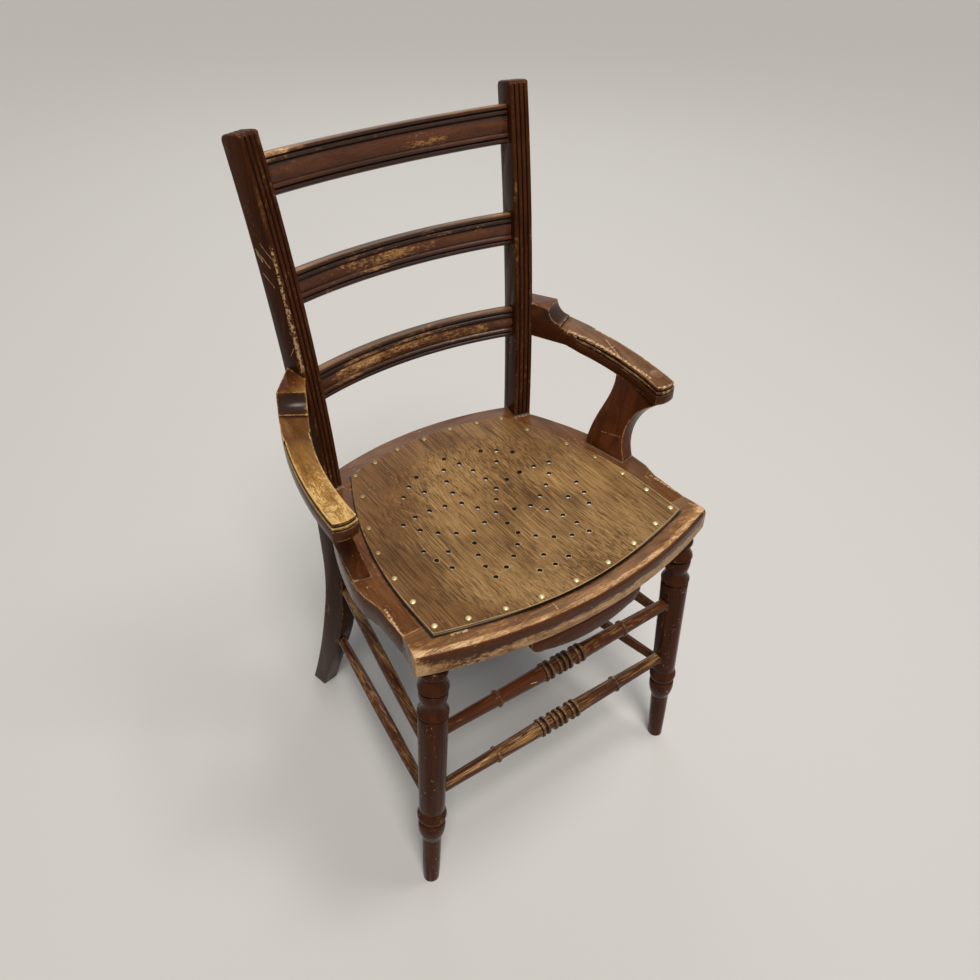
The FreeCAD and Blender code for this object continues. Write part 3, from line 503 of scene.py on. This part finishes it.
# %% [markdown]
# ## Woods of the pieces
# The nosing of the front rail has a pattern of its own. Knees have rubbed the line where the flat top
# turns down, the upper curve has kept its dark varnish, and shoes have chipped the lower front. How far a
# point lies behind the bowed front edge tells which of these it is, so the mask measures that from the
# bow's centre.

# %% Nosing of the front rail
bow_centre = (0, 0.3786, 0)
bow_radius = 0.5939


def nosing_wear(tree, place, lift):
    reach = vector_calc(tree, "DISTANCE", flattened(tree, place), bow_centre, "Value")
    setback = calc(tree, "SUBTRACT", bow_radius, reach)
    across, _, height = put(tree, "ShaderNodeSeparateXYZ", {0: place}).outputs
    front = ramp(tree, setback, 0.006, 0.002)
    low_front = calc(tree, "MULTIPLY", band(tree, height, 0.399, 0.402, 0.410, 0.424), front)
    return total(tree, [
        (band(tree, setback, 0.0022, 0.0034, 0.0062, 0.0110), 0.62),
        (band(tree, setback, 0.006, 0.009, 0.016, 0.026), 0.26),
        (calc(tree, "MULTIPLY", low_front, ramp(tree, across, -0.20, 0.06)), 0.22),
        (low_front, 0.60),
        (front, -0.05),
    ])


# %% [markdown]
# Each piece has its own story. The left post took knocks along its front outer corner and has a splintered
# place on its outer face. The slats have lost varnish on their tops and in the middle of their fields, and
# their reeds are painted dark, with dirt and painted shade. A painted shadow lines the rails along the edge
# of the seat panel. The left arm is rubbed to gold, with a painted highlight on its front, the right one is
# duller and greyer, and the scoop of each is painted dark, with dirt and painted shade. The upper front
# stretcher kept its stain, while feet have worn the lower one to streaks.

# %% Wear on upper sides
def worn_top(weight):
    """Wear that grows towards the upper side of a round rail."""
    def wear(tree, place, lift):
        return calc(tree, "MULTIPLY", ramp(tree, lift, 0.0, 0.85), weight)
    return wear


# %% Wear of the slats
slat_marks = [
    ((-0.06, 0.172, 0.680), (0.075, 0.04, 0.022), 0.36),
    ((0.03, 0.177, 0.684), (0.080, 0.04, 0.022), 0.34),
    ((-0.09, 0.155, 0.562), (0.060, 0.04, 0.022), 0.50),
    ((-0.02, 0.155, 0.562), (0.080, 0.04, 0.016), 0.40),
    ((0.07, 0.155, 0.562), (0.080, 0.04, 0.016), 0.38),
    ((0.060, 0.195, 0.800), (0.060, 0.04, 0.020), 0.20),
    ((-0.14, 0.190, 0.824), (0.070, 0.04, 0.012), 0.75),
    ((0.00, 0.190, 0.705), (0.170, 0.05, 0.008), 0.36),
    ((0.00, 0.170, 0.590), (0.170, 0.05, 0.009), 0.42),
]


reed_heights = (0.547, 0.575, 0.6655, 0.6935, 0.782, 0.813)
# Bands over the reeds of the slats, painted dark as dirt and painted shade.
reed_dirt_and_shade = [((0, 0.18, height), (0.80, 0.30, 0.0098), 0.72) for height in reed_heights]


def slat_wear(tree, place, lift):
    """Marks on fronts and tops, not on the backs, which nobody leans on."""
    facing = put(tree, "ShaderNodeNewGeometry").outputs["Normal"]
    behind = put(tree, "ShaderNodeSeparateXYZ", {0: facing}).outputs["Y"]
    return calc(tree, "MULTIPLY", spots(tree, place, slat_marks), ramp(tree, behind, 0.5, 0.0))


# %% Woods of the back
finishes = {
    "post": stained_wood(
        "post_wood", "z", dark=(0.034, 0.0090, 0.0036, 1), red=(0.078, 0.0240, 0.0085, 1), edge=0.40,
        rubbed=0.02, edge_reach=0.0038, groove_reach=0.012, shine=0.04, flecks=0.36, dust=0.5,
        edge_marks=[
            ((-0.176, 0.165, 0.760), (0.010, 0.04, 0.06), 0.40),
            ((0.163, 0.130, 0.650), (0.012, 0.05, 0.09), 0.25),
        ],
        chips_and_highlights=[
            ((-0.1705, 0.1460, 0.7400), (-0.1665, 0.1340, 0.6700), 0.0026, 0.95),
            ((-0.1665, 0.1340, 0.6700), (-0.1628, 0.1230, 0.5990), 0.0040, 0.95),
        ],
        scratches=[
            ((-0.1746, 0.1636, 0.7391), (-0.1700, 0.1437, 0.7254), 0.0009, 0.9),
            ((-0.1765, 0.1735, 0.7300), (-0.1718, 0.1525, 0.7156), 0.0011, 0.9),
            ((-0.1762, 0.1715, 0.7260), (-0.1740, 0.1640, 0.7190), 0.0022, 0.8),
            ((-0.1747, 0.1670, 0.7048), (-0.1707, 0.1492, 0.6935), 0.0010, 0.9),
            ((-0.1665, 0.1345, 0.6444), (-0.1645, 0.1283, 0.6367), 0.0008, 0.8),
            ((-0.1669, 0.1393, 0.6131), (-0.1650, 0.1289, 0.6304), 0.0008, 0.8),
        ],
    ),
    "slat": stained_wood(
        "slat_wood", "x", dark=(0.058, 0.0205, 0.0105, 1), red=(0.135, 0.0490, 0.0230, 1), edge=0.24,
        polish=0.7, level=0.86, groove_reach=0.010, flecks=0.3,
        shaded_and_soiled=reed_dirt_and_shade, local_wear=slat_wear,
    ),
}
print("back:", ", ".join(finishes))

# %% Painted shadow along the edge of the seat panel
# Right-hand half of the edge, from the middle of the front round to the middle of the back, in millimetres
panel_edge = (
    (0, -190.3), (59.4, -187.2), (112.6, -179.1), (177, -162.3), (176.8, -107.6), (174.4, -69.6),
    (166.7, -18.6), (148, 48.2), (116.3, 119.7), (50.6, 135.6), (0, 139.2),
)
panel_shadow_width = 0.0040


def edge_lines(first, last):
    """Strokes of painted shadow along a stretch of the panel's edge, on both sides of the chair."""
    stretch = panel_edge[first:last + 1]
    return [
        ((side * x / 1000, y / 1000, 0), (side * next_x / 1000, next_y / 1000, 0), panel_shadow_width, 1.0)
        for (x, y), (next_x, next_y) in zip(stretch, stretch[1:]) for side in (-1, 1)
    ]


# %% Woods of the seat frame
finishes["front_rail"] = stained_wood(
    "front_rail_wood", "x", dark=(0.042, 0.0115, 0.0038, 1), red=(0.100, 0.0300, 0.0095, 1), edge=0.35,
    polish=0.45, rubbed=0.05, stretch=0.22, flecks=0.4, local_wear=nosing_wear,
    marks=[
        ((-0.2065, -0.176, 0.418), (0.016, 0.018, 0.026), 0.68),
        ((0.2050, -0.172, 0.424), (0.014, 0.020, 0.020), 0.40),
    ],
    panel_shadow_lines=edge_lines(0, 4),
    chips_and_highlights=[((-0.1591, -0.1703, 0.4300), (-0.1439, -0.1740, 0.4300), 0.0036, 0.95)],
    scratches=[
        ((-0.0420, -0.1923, 0.4261), (-0.0443, -0.2036, 0.4278), 0.0010, 0.9),
        ((0.2045, -0.1653, 0.4300), (0.1980, -0.1570, 0.4300), 0.0009, 0.9),
        ((0.1850, -0.1800, 0.4300), (0.1690, -0.1830, 0.4300), 0.0010, 0.9),
    ],
)
finishes["apron"] = stained_wood(
    "apron_wood", "x", edge=0.75, rubbed=0.04, flecks=0.45, edge_reach=0.004, shine=0.06,
)
finishes["side_rail"] = stained_wood(
    "side_rail_wood", "y", edge=0.60, polish=0.22, rubbed=0.05, flecks=0.55, edge_reach=0.005, shine=0.1,
    panel_shadow_lines=edge_lines(3, 8),
    chips_and_highlights=[
        ((-0.1985, -0.1003, 0.4300), (-0.2052, -0.1629, 0.4300), 0.0024, 0.9),
        ((0.1980, -0.0900, 0.4300), (0.2050, -0.1550, 0.4300), 0.0024, 0.8),
    ],
)
finishes["back_rail"] = stained_wood(
    "back_rail_wood", "x", edge=0.22, polish=0.25, rubbed=0.05, flecks=0.4, panel_shadow_lines=edge_lines(7, 10),
)
print("seat frame:", ", ".join(finishes))

# %% Woods of the legs and stretchers
finishes["leg"] = stained_wood(
    "leg_wood", "z", dark=(0.036, 0.0098, 0.0036, 1), red=(0.082, 0.0235, 0.0078, 1), edge=0.50,
    rubbed=0.06, edge_reach=0.0025, groove_reach=0.006, shine=0.07, gloss=0.17, flecks=0.6, stretch=0.25,
)
finishes["upper_stretcher"] = stained_wood(
    "upper_stretcher_wood", "x", red=(0.112, 0.033, 0.0105, 1), edge=1.0, rubbed=0.02, edge_reach=0.0022,
    groove_reach=0.007, stretch=0.15, gloss=0.17,
    flecks=0.3, local_wear=worn_top(0.14),
    scratches=[((-0.0537, -0.1784, 0.2852), (-0.0452, -0.1792, 0.2838), 0.0009, 0.9)],
)
finishes["lower_stretcher"] = stained_wood(
    "lower_stretcher_wood", "x", dark=(0.040, 0.0135, 0.0060, 1), red=(0.100, 0.036, 0.0140, 1), edge=0.70,
    rubbed=0.06, edge_reach=0.0022, groove_reach=0.007, stretch=0.06, local_wear=worn_top(0.36),
)
finishes["side_stretcher"] = stained_wood(
    "side_stretcher_wood", "y", edge=0.0, rubbed=0.14, stretch=0.10, flecks=0.4, local_wear=worn_top(0.22),
)
print("legs:", ", ".join(finishes))

# %% Wear and painted highlight of the left hand's place
def hand_wear_and_highlight(tree, place, lift):
    """Where a hand rests on the front of the left arm, the top is rubbed through, and the rubbed patch is
    also a painted highlight.
    """
    rest = spots(tree, place, [((-0.226, -0.060, 0.550), (0.055, 0.135, 0.05), 0.68)])
    return calc(tree, "MULTIPLY", rest, ramp(tree, lift, 0.5, 0.9))


# %% Woods of the arms
# The scoops keep their varnish, and the first two spots paint each scoop dark, as dirt and painted shade.
scoops = [((side * 0.190, 0.099, 0.578), (0.034, 0.026, 0.0135), 1.6) for side in (-1, 1)]
scoops += [((side * 0.188, 0.134, 0.594), (0.055, 0.042, 0.034), 1.0) for side in (-1, 1)]
arm_gold = (
    (0.150, 0.064, 0.016, 1), (0.410, 0.212, 0.054, 1), (0.520, 0.300, 0.092, 1), (0.790, 0.530, 0.210, 1),
)
arm_gray = ((0.120, 0.056, 0.023, 1), (0.300, 0.160, 0.070, 1), bare_dark, bare_wood)
arm_back = [((-0.202, 0.078, 0.566), (0.045, 0.075, 0.040), 0.65)]
# The left arm's pale edge lines and its rubbed front are worn wood, and partly a painted highlight.
finishes["arm_left"] = stained_wood(
    "arm_left_wood", "y", edge=0.60, polish=1.0, stretch=0.3, kept=scoops + arm_back, edge_reach=0.0035,
    shine=0.14, flecks=0.45, shaded_and_soiled=scoops[:2], pale=arm_gold,
    local_wear=hand_wear_and_highlight,
    # Pale strokes on the front ledge: chips, and partly a painted highlight on the reed crest.
    chips_and_highlights=[
        ((-0.2345, -0.0728, 0.5414), (-0.2207, -0.0740, 0.5412), 0.0030, 0.9),
        ((-0.2207, -0.0740, 0.5412), (-0.2075, -0.0720, 0.5414), 0.0030, 0.9),
    ],
)
finishes["arm_right"] = stained_wood(
    "arm_right_wood", "y", edge=0.60, polish=0.55, stretch=0.3, kept=scoops, edge_reach=0.0038,
    shine=0.14, flecks=0.45, shaded_and_soiled=scoops[:2], pale=arm_gray,
    chips_and_highlights=[
        ((0.1835, 0.0740, 0.5656), (0.1945, 0.0488, 0.5624), 0.0055, 0.95),
        ((0.1945, 0.0488, 0.5624), (0.2060, 0.0100, 0.5575), 0.0050, 0.95),
        ((0.2060, 0.0100, 0.5575), (0.2135, -0.0500, 0.5498), 0.0034, 0.9),
        # These two strokes on the front ledge are chips, and partly a painted highlight on the reed crest.
        ((0.2110, -0.0715, 0.5472), (0.2165, -0.0734, 0.5469), 0.0030, 0.9),
        ((0.2165, -0.0734, 0.5469), (0.2310, -0.0740, 0.5469), 0.0030, 0.9),
    ],
    scratches=[
        ((0.2161, 0.0353, 0.5607), (0.2084, -0.0008, 0.5561), 0.0011, 0.7),
        ((0.2015, 0.0213, 0.5589), (0.2180, 0.0199, 0.5587), 0.0009, 0.5),
    ],
)
finishes["support"] = stained_wood(
    "support_wood", "z", red=(0.135, 0.038, 0.012, 1), edge=0.68, edge_reach=0.004, flecks=0.4, dust=0.7,
    shine=0.12,
    scratches=[((0.1840, -0.0065, 0.4560), (0.1905, -0.0354, 0.4609), 0.0008, 0.45)],
)
print("arms:", ", ".join(finishes))

# %% [markdown]
# ## Seat plywood
# The seat is thin plywood pressed to a shallow bowl. Its face veneer was cut in long flakes, so fine dark
# and pale dashes run from front to back in a tan ground. Sitters have left it smudged. On the cut rim a
# pale inner ply lies between two dark ones, and the corner above it is rubbed. Low down the cut faces are
# painted dark as painted shade, which makes the walls of the holes dark.

# %% Seat plywood
veneer_dark = (0.055, 0.027, 0.009, 1)
veneer_tan = (0.190, 0.096, 0.029, 1)
veneer_red = (0.165, 0.070, 0.019, 1)
veneer_pale = (0.450, 0.262, 0.100, 1)
veneer_worn = (0.560, 0.370, 0.170, 1)
outer_ply = (0.105, 0.068, 0.036, 1)
inner_ply = (0.330, 0.300, 0.260, 1)
clean_middle = (0.02, -0.07, 0.43)

plywood = bpy.data.materials.new("seat_plywood")
plywood.use_nodes = True
tree = plywood.node_tree
shader = tree.nodes["Principled BSDF"]
shader.inputs["Specular IOR Level"].default_value = 0.2
place = put(tree, "ShaderNodeTexCoord").outputs["Object"]
turn = {"Vector": place, "Rotation": grain_turns["y"], "Scale": (1000, 1000, 1000)}
along = put(tree, "ShaderNodeMapping", turn).outputs[0]
veneer = use(tree, grain_group, {"Vector": along, "Fibre Scale": 0.45, "Figure Scale": 0.03})
dashes = noise(tree, stretched(tree, along, 0.026), 0.72, 2, 0.45)
dense = ramp(tree, noise(tree, along, 0.012, 2, 0.5), 0.35, 0.62)
dark_dashes = ramp(tree, calc(tree, "ADD", dashes, calc(tree, "MULTIPLY", dense, 0.10)), 0.63, 0.68)
fine_dashes = noise(tree, stretched(tree, along, 0.02), 1.25, 1, 0.4)
fine_dashes = ramp(tree, calc(tree, "ADD", fine_dashes, calc(tree, "MULTIPLY", dense, 0.08)), 0.60, 0.66)
dark_dashes = calc(tree, "MAXIMUM", dark_dashes, calc(tree, "MULTIPLY", fine_dashes, 0.8))
pale_dashes = ramp(tree, dashes, 0.41, 0.35)
fine_lines = use(tree, fleck_group, {"Vector": along, "Amount": 0.42, "Stretch": 0.04, "Scale": 0.9})["Mask"]
smudges = ramp(tree, noise(tree, along, 0.016, 4, 0.62), 0.44, 0.72)
found = use(tree, edge_group, {"Edge Reach": 0.0022})
facing = put(tree, "ShaderNodeNewGeometry").outputs["Normal"]
lift = put(tree, "ShaderNodeSeparateXYZ", {0: facing}).outputs["Z"]
_, depth, height = put(tree, "ShaderNodeSeparateXYZ", {0: place}).outputs
dirty_places = spots(tree, place, [
    ((0.044, 0.000, 0.423), (0.0055, 0.0075, 0.02), 1.0),
    ((0.004, -0.034, 0.421), (0.030, 0.040, 0.03), 0.35),
    ((0.050, -0.090, 0.422), (0.040, 0.030, 0.03), 0.35),
    ((0.086, -0.070, 0.424), (0.022, 0.026, 0.03), 0.30),
    ((-0.158, -0.029, 0.434), (0.026, 0.026, 0.03), 0.45),
])

color = mixed(tree, veneer["Fibre"], veneer_tan, veneer_pale)
color = mixed(tree, calc(tree, "MULTIPLY", veneer["Figure"], 0.35), color, veneer_tan)
color = mixed(tree, calc(tree, "MULTIPLY", pale_dashes, 0.65), color, veneer_pale)
reach = vector_calc(tree, "DISTANCE", place, clean_middle, "Value")
reddened = calc(tree, "MULTIPLY", ramp(tree, reach, 0.09, 0.21), 0.25)
reddened = ramp(tree, calc(tree, "ADD", noise(tree, along, 0.011, 3, 0.55), reddened), 0.46, 0.80)
color = mixed(tree, calc(tree, "MULTIPLY", reddened, 0.85), color, veneer_red)
color = mixed(tree, calc(tree, "MULTIPLY", dark_dashes, 0.8), color, veneer_dark)
grubby = calc(tree, "ADD", calc(tree, "MULTIPLY", smudges, 0.38), dirty_places, clamp=True)
color = mixed(tree, calc(tree, "MULTIPLY", grubby, 0.65), color, veneer_dark)
cuts = strokes(tree, flattened(tree, place), [
    ((-0.0606, -0.1202, 0), (-0.0399, -0.1170, 0), 0.0008, 0.9),
    ((-0.0980, 0.0320, 0), (-0.0820, 0.0120, 0), 0.0007, 0.7),
    ((0.0220, -0.0620, 0), (0.0550, -0.0500, 0), 0.0007, 0.6),
    ((-0.0150, -0.1120, 0), (-0.0080, -0.0900, 0), 0.0008, 0.8),
])
fine_lines = calc(tree, "MAXIMUM", fine_lines, cuts)
color = mixed(tree, calc(tree, "MULTIPLY", fine_lines, 0.7), color, veneer_worn)
rim = use(tree, rubbed_group, {
    "Mask": calc(tree, "MULTIPLY", found["Edge"], calc(tree, "ADD", ramp(tree, depth, 0.02, -0.15), 0.25)),
    "Vector": along, "Softness": 0.2,
})["Worn"]
color = mixed(tree, calc(tree, "MULTIPLY", rim, 0.75), color, veneer_worn)
# Painted shade: low on each cut face, as on the walls of the holes, the colour is dark; higher up it has the
# colours of the plies.
cut_tone = mixed(tree, ramp(tree, height, 0.4285, 0.4301), dirt_and_shade, outer_ply)
plies = mixed(tree, band(tree, height, 0.4310, 0.4315, 0.4326, 0.4331), cut_tone, inner_ply)
color = mixed(tree, ramp(tree, lift, 0.6, 0.3), color, plies)
tree.links.new(color, shader.inputs["Base Color"])
dull = total(tree, [(veneer["Fibre"], 0.1), (dark_dashes, 0.15), (smudges, 0.1)])
tree.links.new(calc(tree, "ADD", dull, 0.36), shader.inputs["Roughness"])
height = total(tree, [(veneer["Fibre"], 0.1), (dark_dashes, -1.0)])
bump = put(tree, "ShaderNodeBump", {"Strength": 0.5, "Distance": 0.0004, "Height": height})
tree.links.new(bump.outputs[0], shader.inputs["Normal"])
print("plywood nodes", len(tree.nodes))

# %% [markdown]
# ## Eased edges
# A solid part has knife-sharp corners, and a used chair has none. Each part is copied, its loose triangles
# are merged and joined into whole faces, and a narrow bevel rounds what is left sharp. The copy then
# stands for the part. The seat panel keeps its own shape, as its rim is a thin sheet.

# %% Eased edges
merge_distance = 0.00001
flat_angle = math.radians(0.5)
sharp_angle = math.radians(38)

wood_parts = {
    "post": ("back_wood", ["rear_leg_left", "rear_leg_right"], 0.0009),
    "slat": ("back_wood", ["top_slat", "middle_slat", "bottom_slat"], 0.0006),
    "front_rail": ("frame_wood", ["front_rail"], 0.0016),
    "apron": ("frame_wood", ["front_apron"], 0.0013),
    "side_rail": ("frame_wood", ["side_rail_left", "side_rail_right"], 0.0013),
    "back_rail": ("frame_wood", ["back_rail"], 0.0013),
    "leg": ("turned_wood", ["front_leg_left", "front_leg_right"], 0.0007),
    "upper_stretcher": ("turned_wood", ["front_stretcher_upper"], 0.0006),
    "lower_stretcher": ("turned_wood", ["front_stretcher_lower"], 0.0006),
    "side_stretcher": ("turned_wood", [
        "side_stretcher_left_upper", "side_stretcher_left_lower", "side_stretcher_right_upper",
        "side_stretcher_right_lower", "rear_stretcher",
    ], 0.0006),
    "arm_left": ("frame_wood", ["arm_left"], 0.0009),
    "arm_right": ("frame_wood", ["arm_right"], 0.0009),
    "support": ("frame_wood", ["arm_support_left", "arm_support_right"], 0.0012),
}


def only(piece):
    """Makes one object the selected and active one."""
    bpy.ops.object.select_all(action="DESELECT")
    piece.select_set(True)
    bpy.context.view_layer.objects.active = piece


def eased(node, width, finish):
    piece = bpy.data.objects.new(node + "_wood", nodes[node].data.copy())
    scene.collection.objects.link(piece)
    only(piece)
    bpy.ops.object.mode_set(mode="EDIT")
    bpy.ops.mesh.select_all(action="SELECT")
    bpy.ops.mesh.remove_doubles(threshold=merge_distance)
    bpy.ops.mesh.dissolve_limited(angle_limit=flat_angle)
    bpy.ops.object.mode_set(mode="OBJECT")
    bpy.ops.mesh.customdata_custom_splitnormals_clear()
    bevel = piece.modifiers.new("eased", "BEVEL")
    bevel.width = width
    bevel.segments = 2
    bevel.limit_method = "ANGLE"
    bevel.angle_limit = sharp_angle
    bevel.harden_normals = False
    bpy.ops.object.modifier_apply(modifier=bevel.name)
    bpy.ops.object.shade_smooth_by_angle(angle=sharp_angle)
    piece.data.materials.clear()
    piece.data.materials.append(finish)
    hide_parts(node)
    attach(piece, "root")
    return piece


eased_parts = {}
for finish, (slot, parts, width) in wood_parts.items():
    for node in parts:
        eased_parts[node] = eased(node, width, finishes[finish])
        print(node, len(eased_parts[node].data.polygons), "faces")

panel = nodes["seat_panel"]
panel.data.materials.clear()
panel.data.materials.append(plywood)

# %% [markdown]
# ## Brass tacks
# Dome-headed tacks hold the panel down all round. One head starts as a small disc that is extruded upwards
# in steps, and each step is drawn in, which makes a low dome. Copies with a mesh of their own are then set
# on the panel, each square to the sheet below it, with the slight tilt that a hammer leaves. All of them
# become one piece.

# %% One tack
tack_radius = 0.00365
tack_steps = ((1.0, 0.0), (0.99, 0.0004), (0.88, 0.0009), (0.62, 0.0015), (0.30, 0.0018))

bpy.ops.object.select_all(action="DESELECT")
bpy.ops.mesh.primitive_circle_add(vertices=16, radius=tack_radius, fill_type="NGON")
tack = bpy.context.object
bpy.ops.object.mode_set(mode="EDIT")
bpy.ops.mesh.select_all(action="SELECT")
for (wide, low), (narrow, high) in zip(tack_steps, tack_steps[1:]):
    bpy.ops.mesh.extrude_region_move(TRANSFORM_OT_translate={"value": (0, 0, high - low)})
    bpy.ops.transform.resize(value=(narrow / wide, narrow / wide, 1))
bpy.ops.mesh.select_all(action="SELECT")
bpy.ops.mesh.normals_make_consistent(inside=False)
bpy.ops.object.mode_set(mode="OBJECT")
bpy.ops.object.shade_smooth()
print("tack", len(tack.data.polygons), "faces", [round(size * 1000, 2) for size in tack.dimensions])

# %% Brass
brass = bpy.data.materials.new("tack_brass")
brass.use_nodes = True
tree = brass.node_tree
shader = tree.nodes["Principled BSDF"]
shader.inputs["Metallic"].default_value = 0.6
place = put(tree, "ShaderNodeTexCoord").outputs["Object"]
_, depth, _ = put(tree, "ShaderNodeSeparateXYZ", {0: place}).outputs
stains = noise(tree, place, 420, 3, 0.6)
tarnish = calc(tree, "ADD", ramp(tree, depth, -0.14, 0.02), calc(tree, "MULTIPLY", stains, 0.9))
tarnish = ramp(tree, tarnish, 0.45, 1.25)
color = mixed(tree, tarnish, (0.78, 0.66, 0.33, 1), (0.33, 0.235, 0.100, 1))
facing = put(tree, "ShaderNodeNewGeometry").outputs["Normal"]
lift = put(tree, "ShaderNodeSeparateXYZ", {0: facing}).outputs["Z"]
# Painted shade: the sideways-facing rim of each head is painted dark, which gives it a dark outline.
color = mixed(tree, ramp(tree, lift, 0.72, 0.30), color, dirt_and_shade)
tree.links.new(color, shader.inputs["Base Color"])
tree.links.new(calc(tree, "ADD", calc(tree, "MULTIPLY", tarnish, 0.18), 0.36), shader.inputs["Roughness"])
print("brass nodes", len(tree.nodes))

# %% Tacks round the panel
# Right-hand half, from the middle of the front round to the middle of the back, in millimetres
tack_seats = (
    (0, -181.3), (48, -179.8), (92, -173.8), (134.5, -164.8), (170, -153.8), (170, -111.3), (167.5, -69.3),
    (161.5, -23.3), (149, 19.7), (126, 74.7), (113, 115.7), (79, 125.2), (41, 133.7), (0, 133.2),
)
tack_sink = 0.0002
tack_tilt = 0.07
draw = random.Random(7)
above = Vector((0, 0, 1))


def copies_on(carrier, pattern, seats, sink, tilt):
    """Copies of a pattern, each with its own mesh, set square on what carries them."""
    made = []
    for x, y in seats:
        found, spot, normal, _ = carrier.ray_cast(Vector((x, y, 1)), -above)
        leaning = Matrix.Rotation(draw.uniform(-tilt, tilt), 4, "X")
        leaning = leaning @ Matrix.Rotation(draw.uniform(-tilt, tilt), 4, "Y")
        turned = Matrix.Rotation(draw.uniform(0, math.tau), 4, "Z")
        square = normal.to_track_quat("Z", "Y").to_matrix().to_4x4()
        copy = bpy.data.objects.new(pattern.name, pattern.data.copy())
        copy.data.transform(Matrix.Translation(spot - normal * sink) @ square @ leaning @ turned)
        scene.collection.objects.link(copy)
        made.append(copy)
    return made


def joined(pieces, name, material):
    only(pieces[0])
    for piece in pieces:
        piece.select_set(True)
    bpy.ops.object.join()
    whole = bpy.context.object
    whole.name = name
    whole.data.materials.clear()
    whole.data.materials.append(material)
    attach(whole, "root")
    return whole


seats = [(side * x / 1000, y / 1000) for x, y in tack_seats for side in ((-1, 1) if x else (1,))]
brass_tacks = joined(copies_on(panel, tack, seats, tack_sink, tack_tilt), "brass_tacks", brass)
bpy.data.objects.remove(tack)
print(len(seats), "tacks", len(brass_tacks.data.polygons), "faces")

# %% [markdown]
# ## Wooden plugs
# Near its front end each arm has a round wooden plug over the screw that holds it to its support. It
# starts as a short cylinder. Its upper face is inset and lowered a little, so that a fine dark line is
# left round it, and its corner is bevelled. It stands a hair proud of the arm, as plugs do when the wood
# round them has shrunk.

# %% Wooden plugs
plug_radius = 0.0083
plug_depth = 0.010
plug_proud = 0.0003
plug_rim = 0.0008

bpy.ops.object.select_all(action="DESELECT")
bpy.ops.mesh.primitive_cylinder_add(
    vertices=36, radius=plug_radius, depth=plug_depth, location=(0, 0, -plug_depth / 2),
)
plug = bpy.context.object
bpy.ops.object.transform_apply(location=True)
bpy.ops.object.mode_set(mode="EDIT")
bpy.ops.mesh.select_mode(type="FACE")
bpy.ops.mesh.select_all(action="DESELECT")
bpy.ops.object.mode_set(mode="OBJECT")
for face in plug.data.polygons:
    face.select = face.normal.z > 0.9
bpy.ops.object.mode_set(mode="EDIT")
bpy.ops.mesh.inset(thickness=plug_rim, depth=-plug_proud)
bpy.ops.mesh.inset(thickness=plug_rim, depth=plug_proud)
bpy.ops.object.mode_set(mode="OBJECT")
bevel = plug.modifiers.new("eased", "BEVEL")
bevel.width = plug_proud / 2
bevel.limit_method = "ANGLE"
bpy.ops.object.modifier_apply(modifier=bevel.name)
bpy.ops.object.shade_smooth_by_angle(angle=sharp_angle)

plug_seats = {
    "arm_left": ((-0.2254, -0.0488), 1.0, arm_gold, hand_wear_and_highlight),
    "arm_right": ((0.2254, -0.0488), 0.7, arm_gray, None),
}
for arm, (plug_seat, polish, pale, wear) in plug_seats.items():
    plug_wood = stained_wood(
        arm + "_plug_wood", "x", edge=0.0, polish=polish, flecks=0.4, pale=pale, local_wear=wear,
    )
    seated = copies_on(eased_parts[arm], plug, [plug_seat], -plug_proud, 0.0)
    arm_plug = joined(seated, arm + "_plug", plug_wood)
bpy.data.objects.remove(plug)
print("plugs", len(plug_seats), "of", len(arm_plug.data.polygons), "faces")
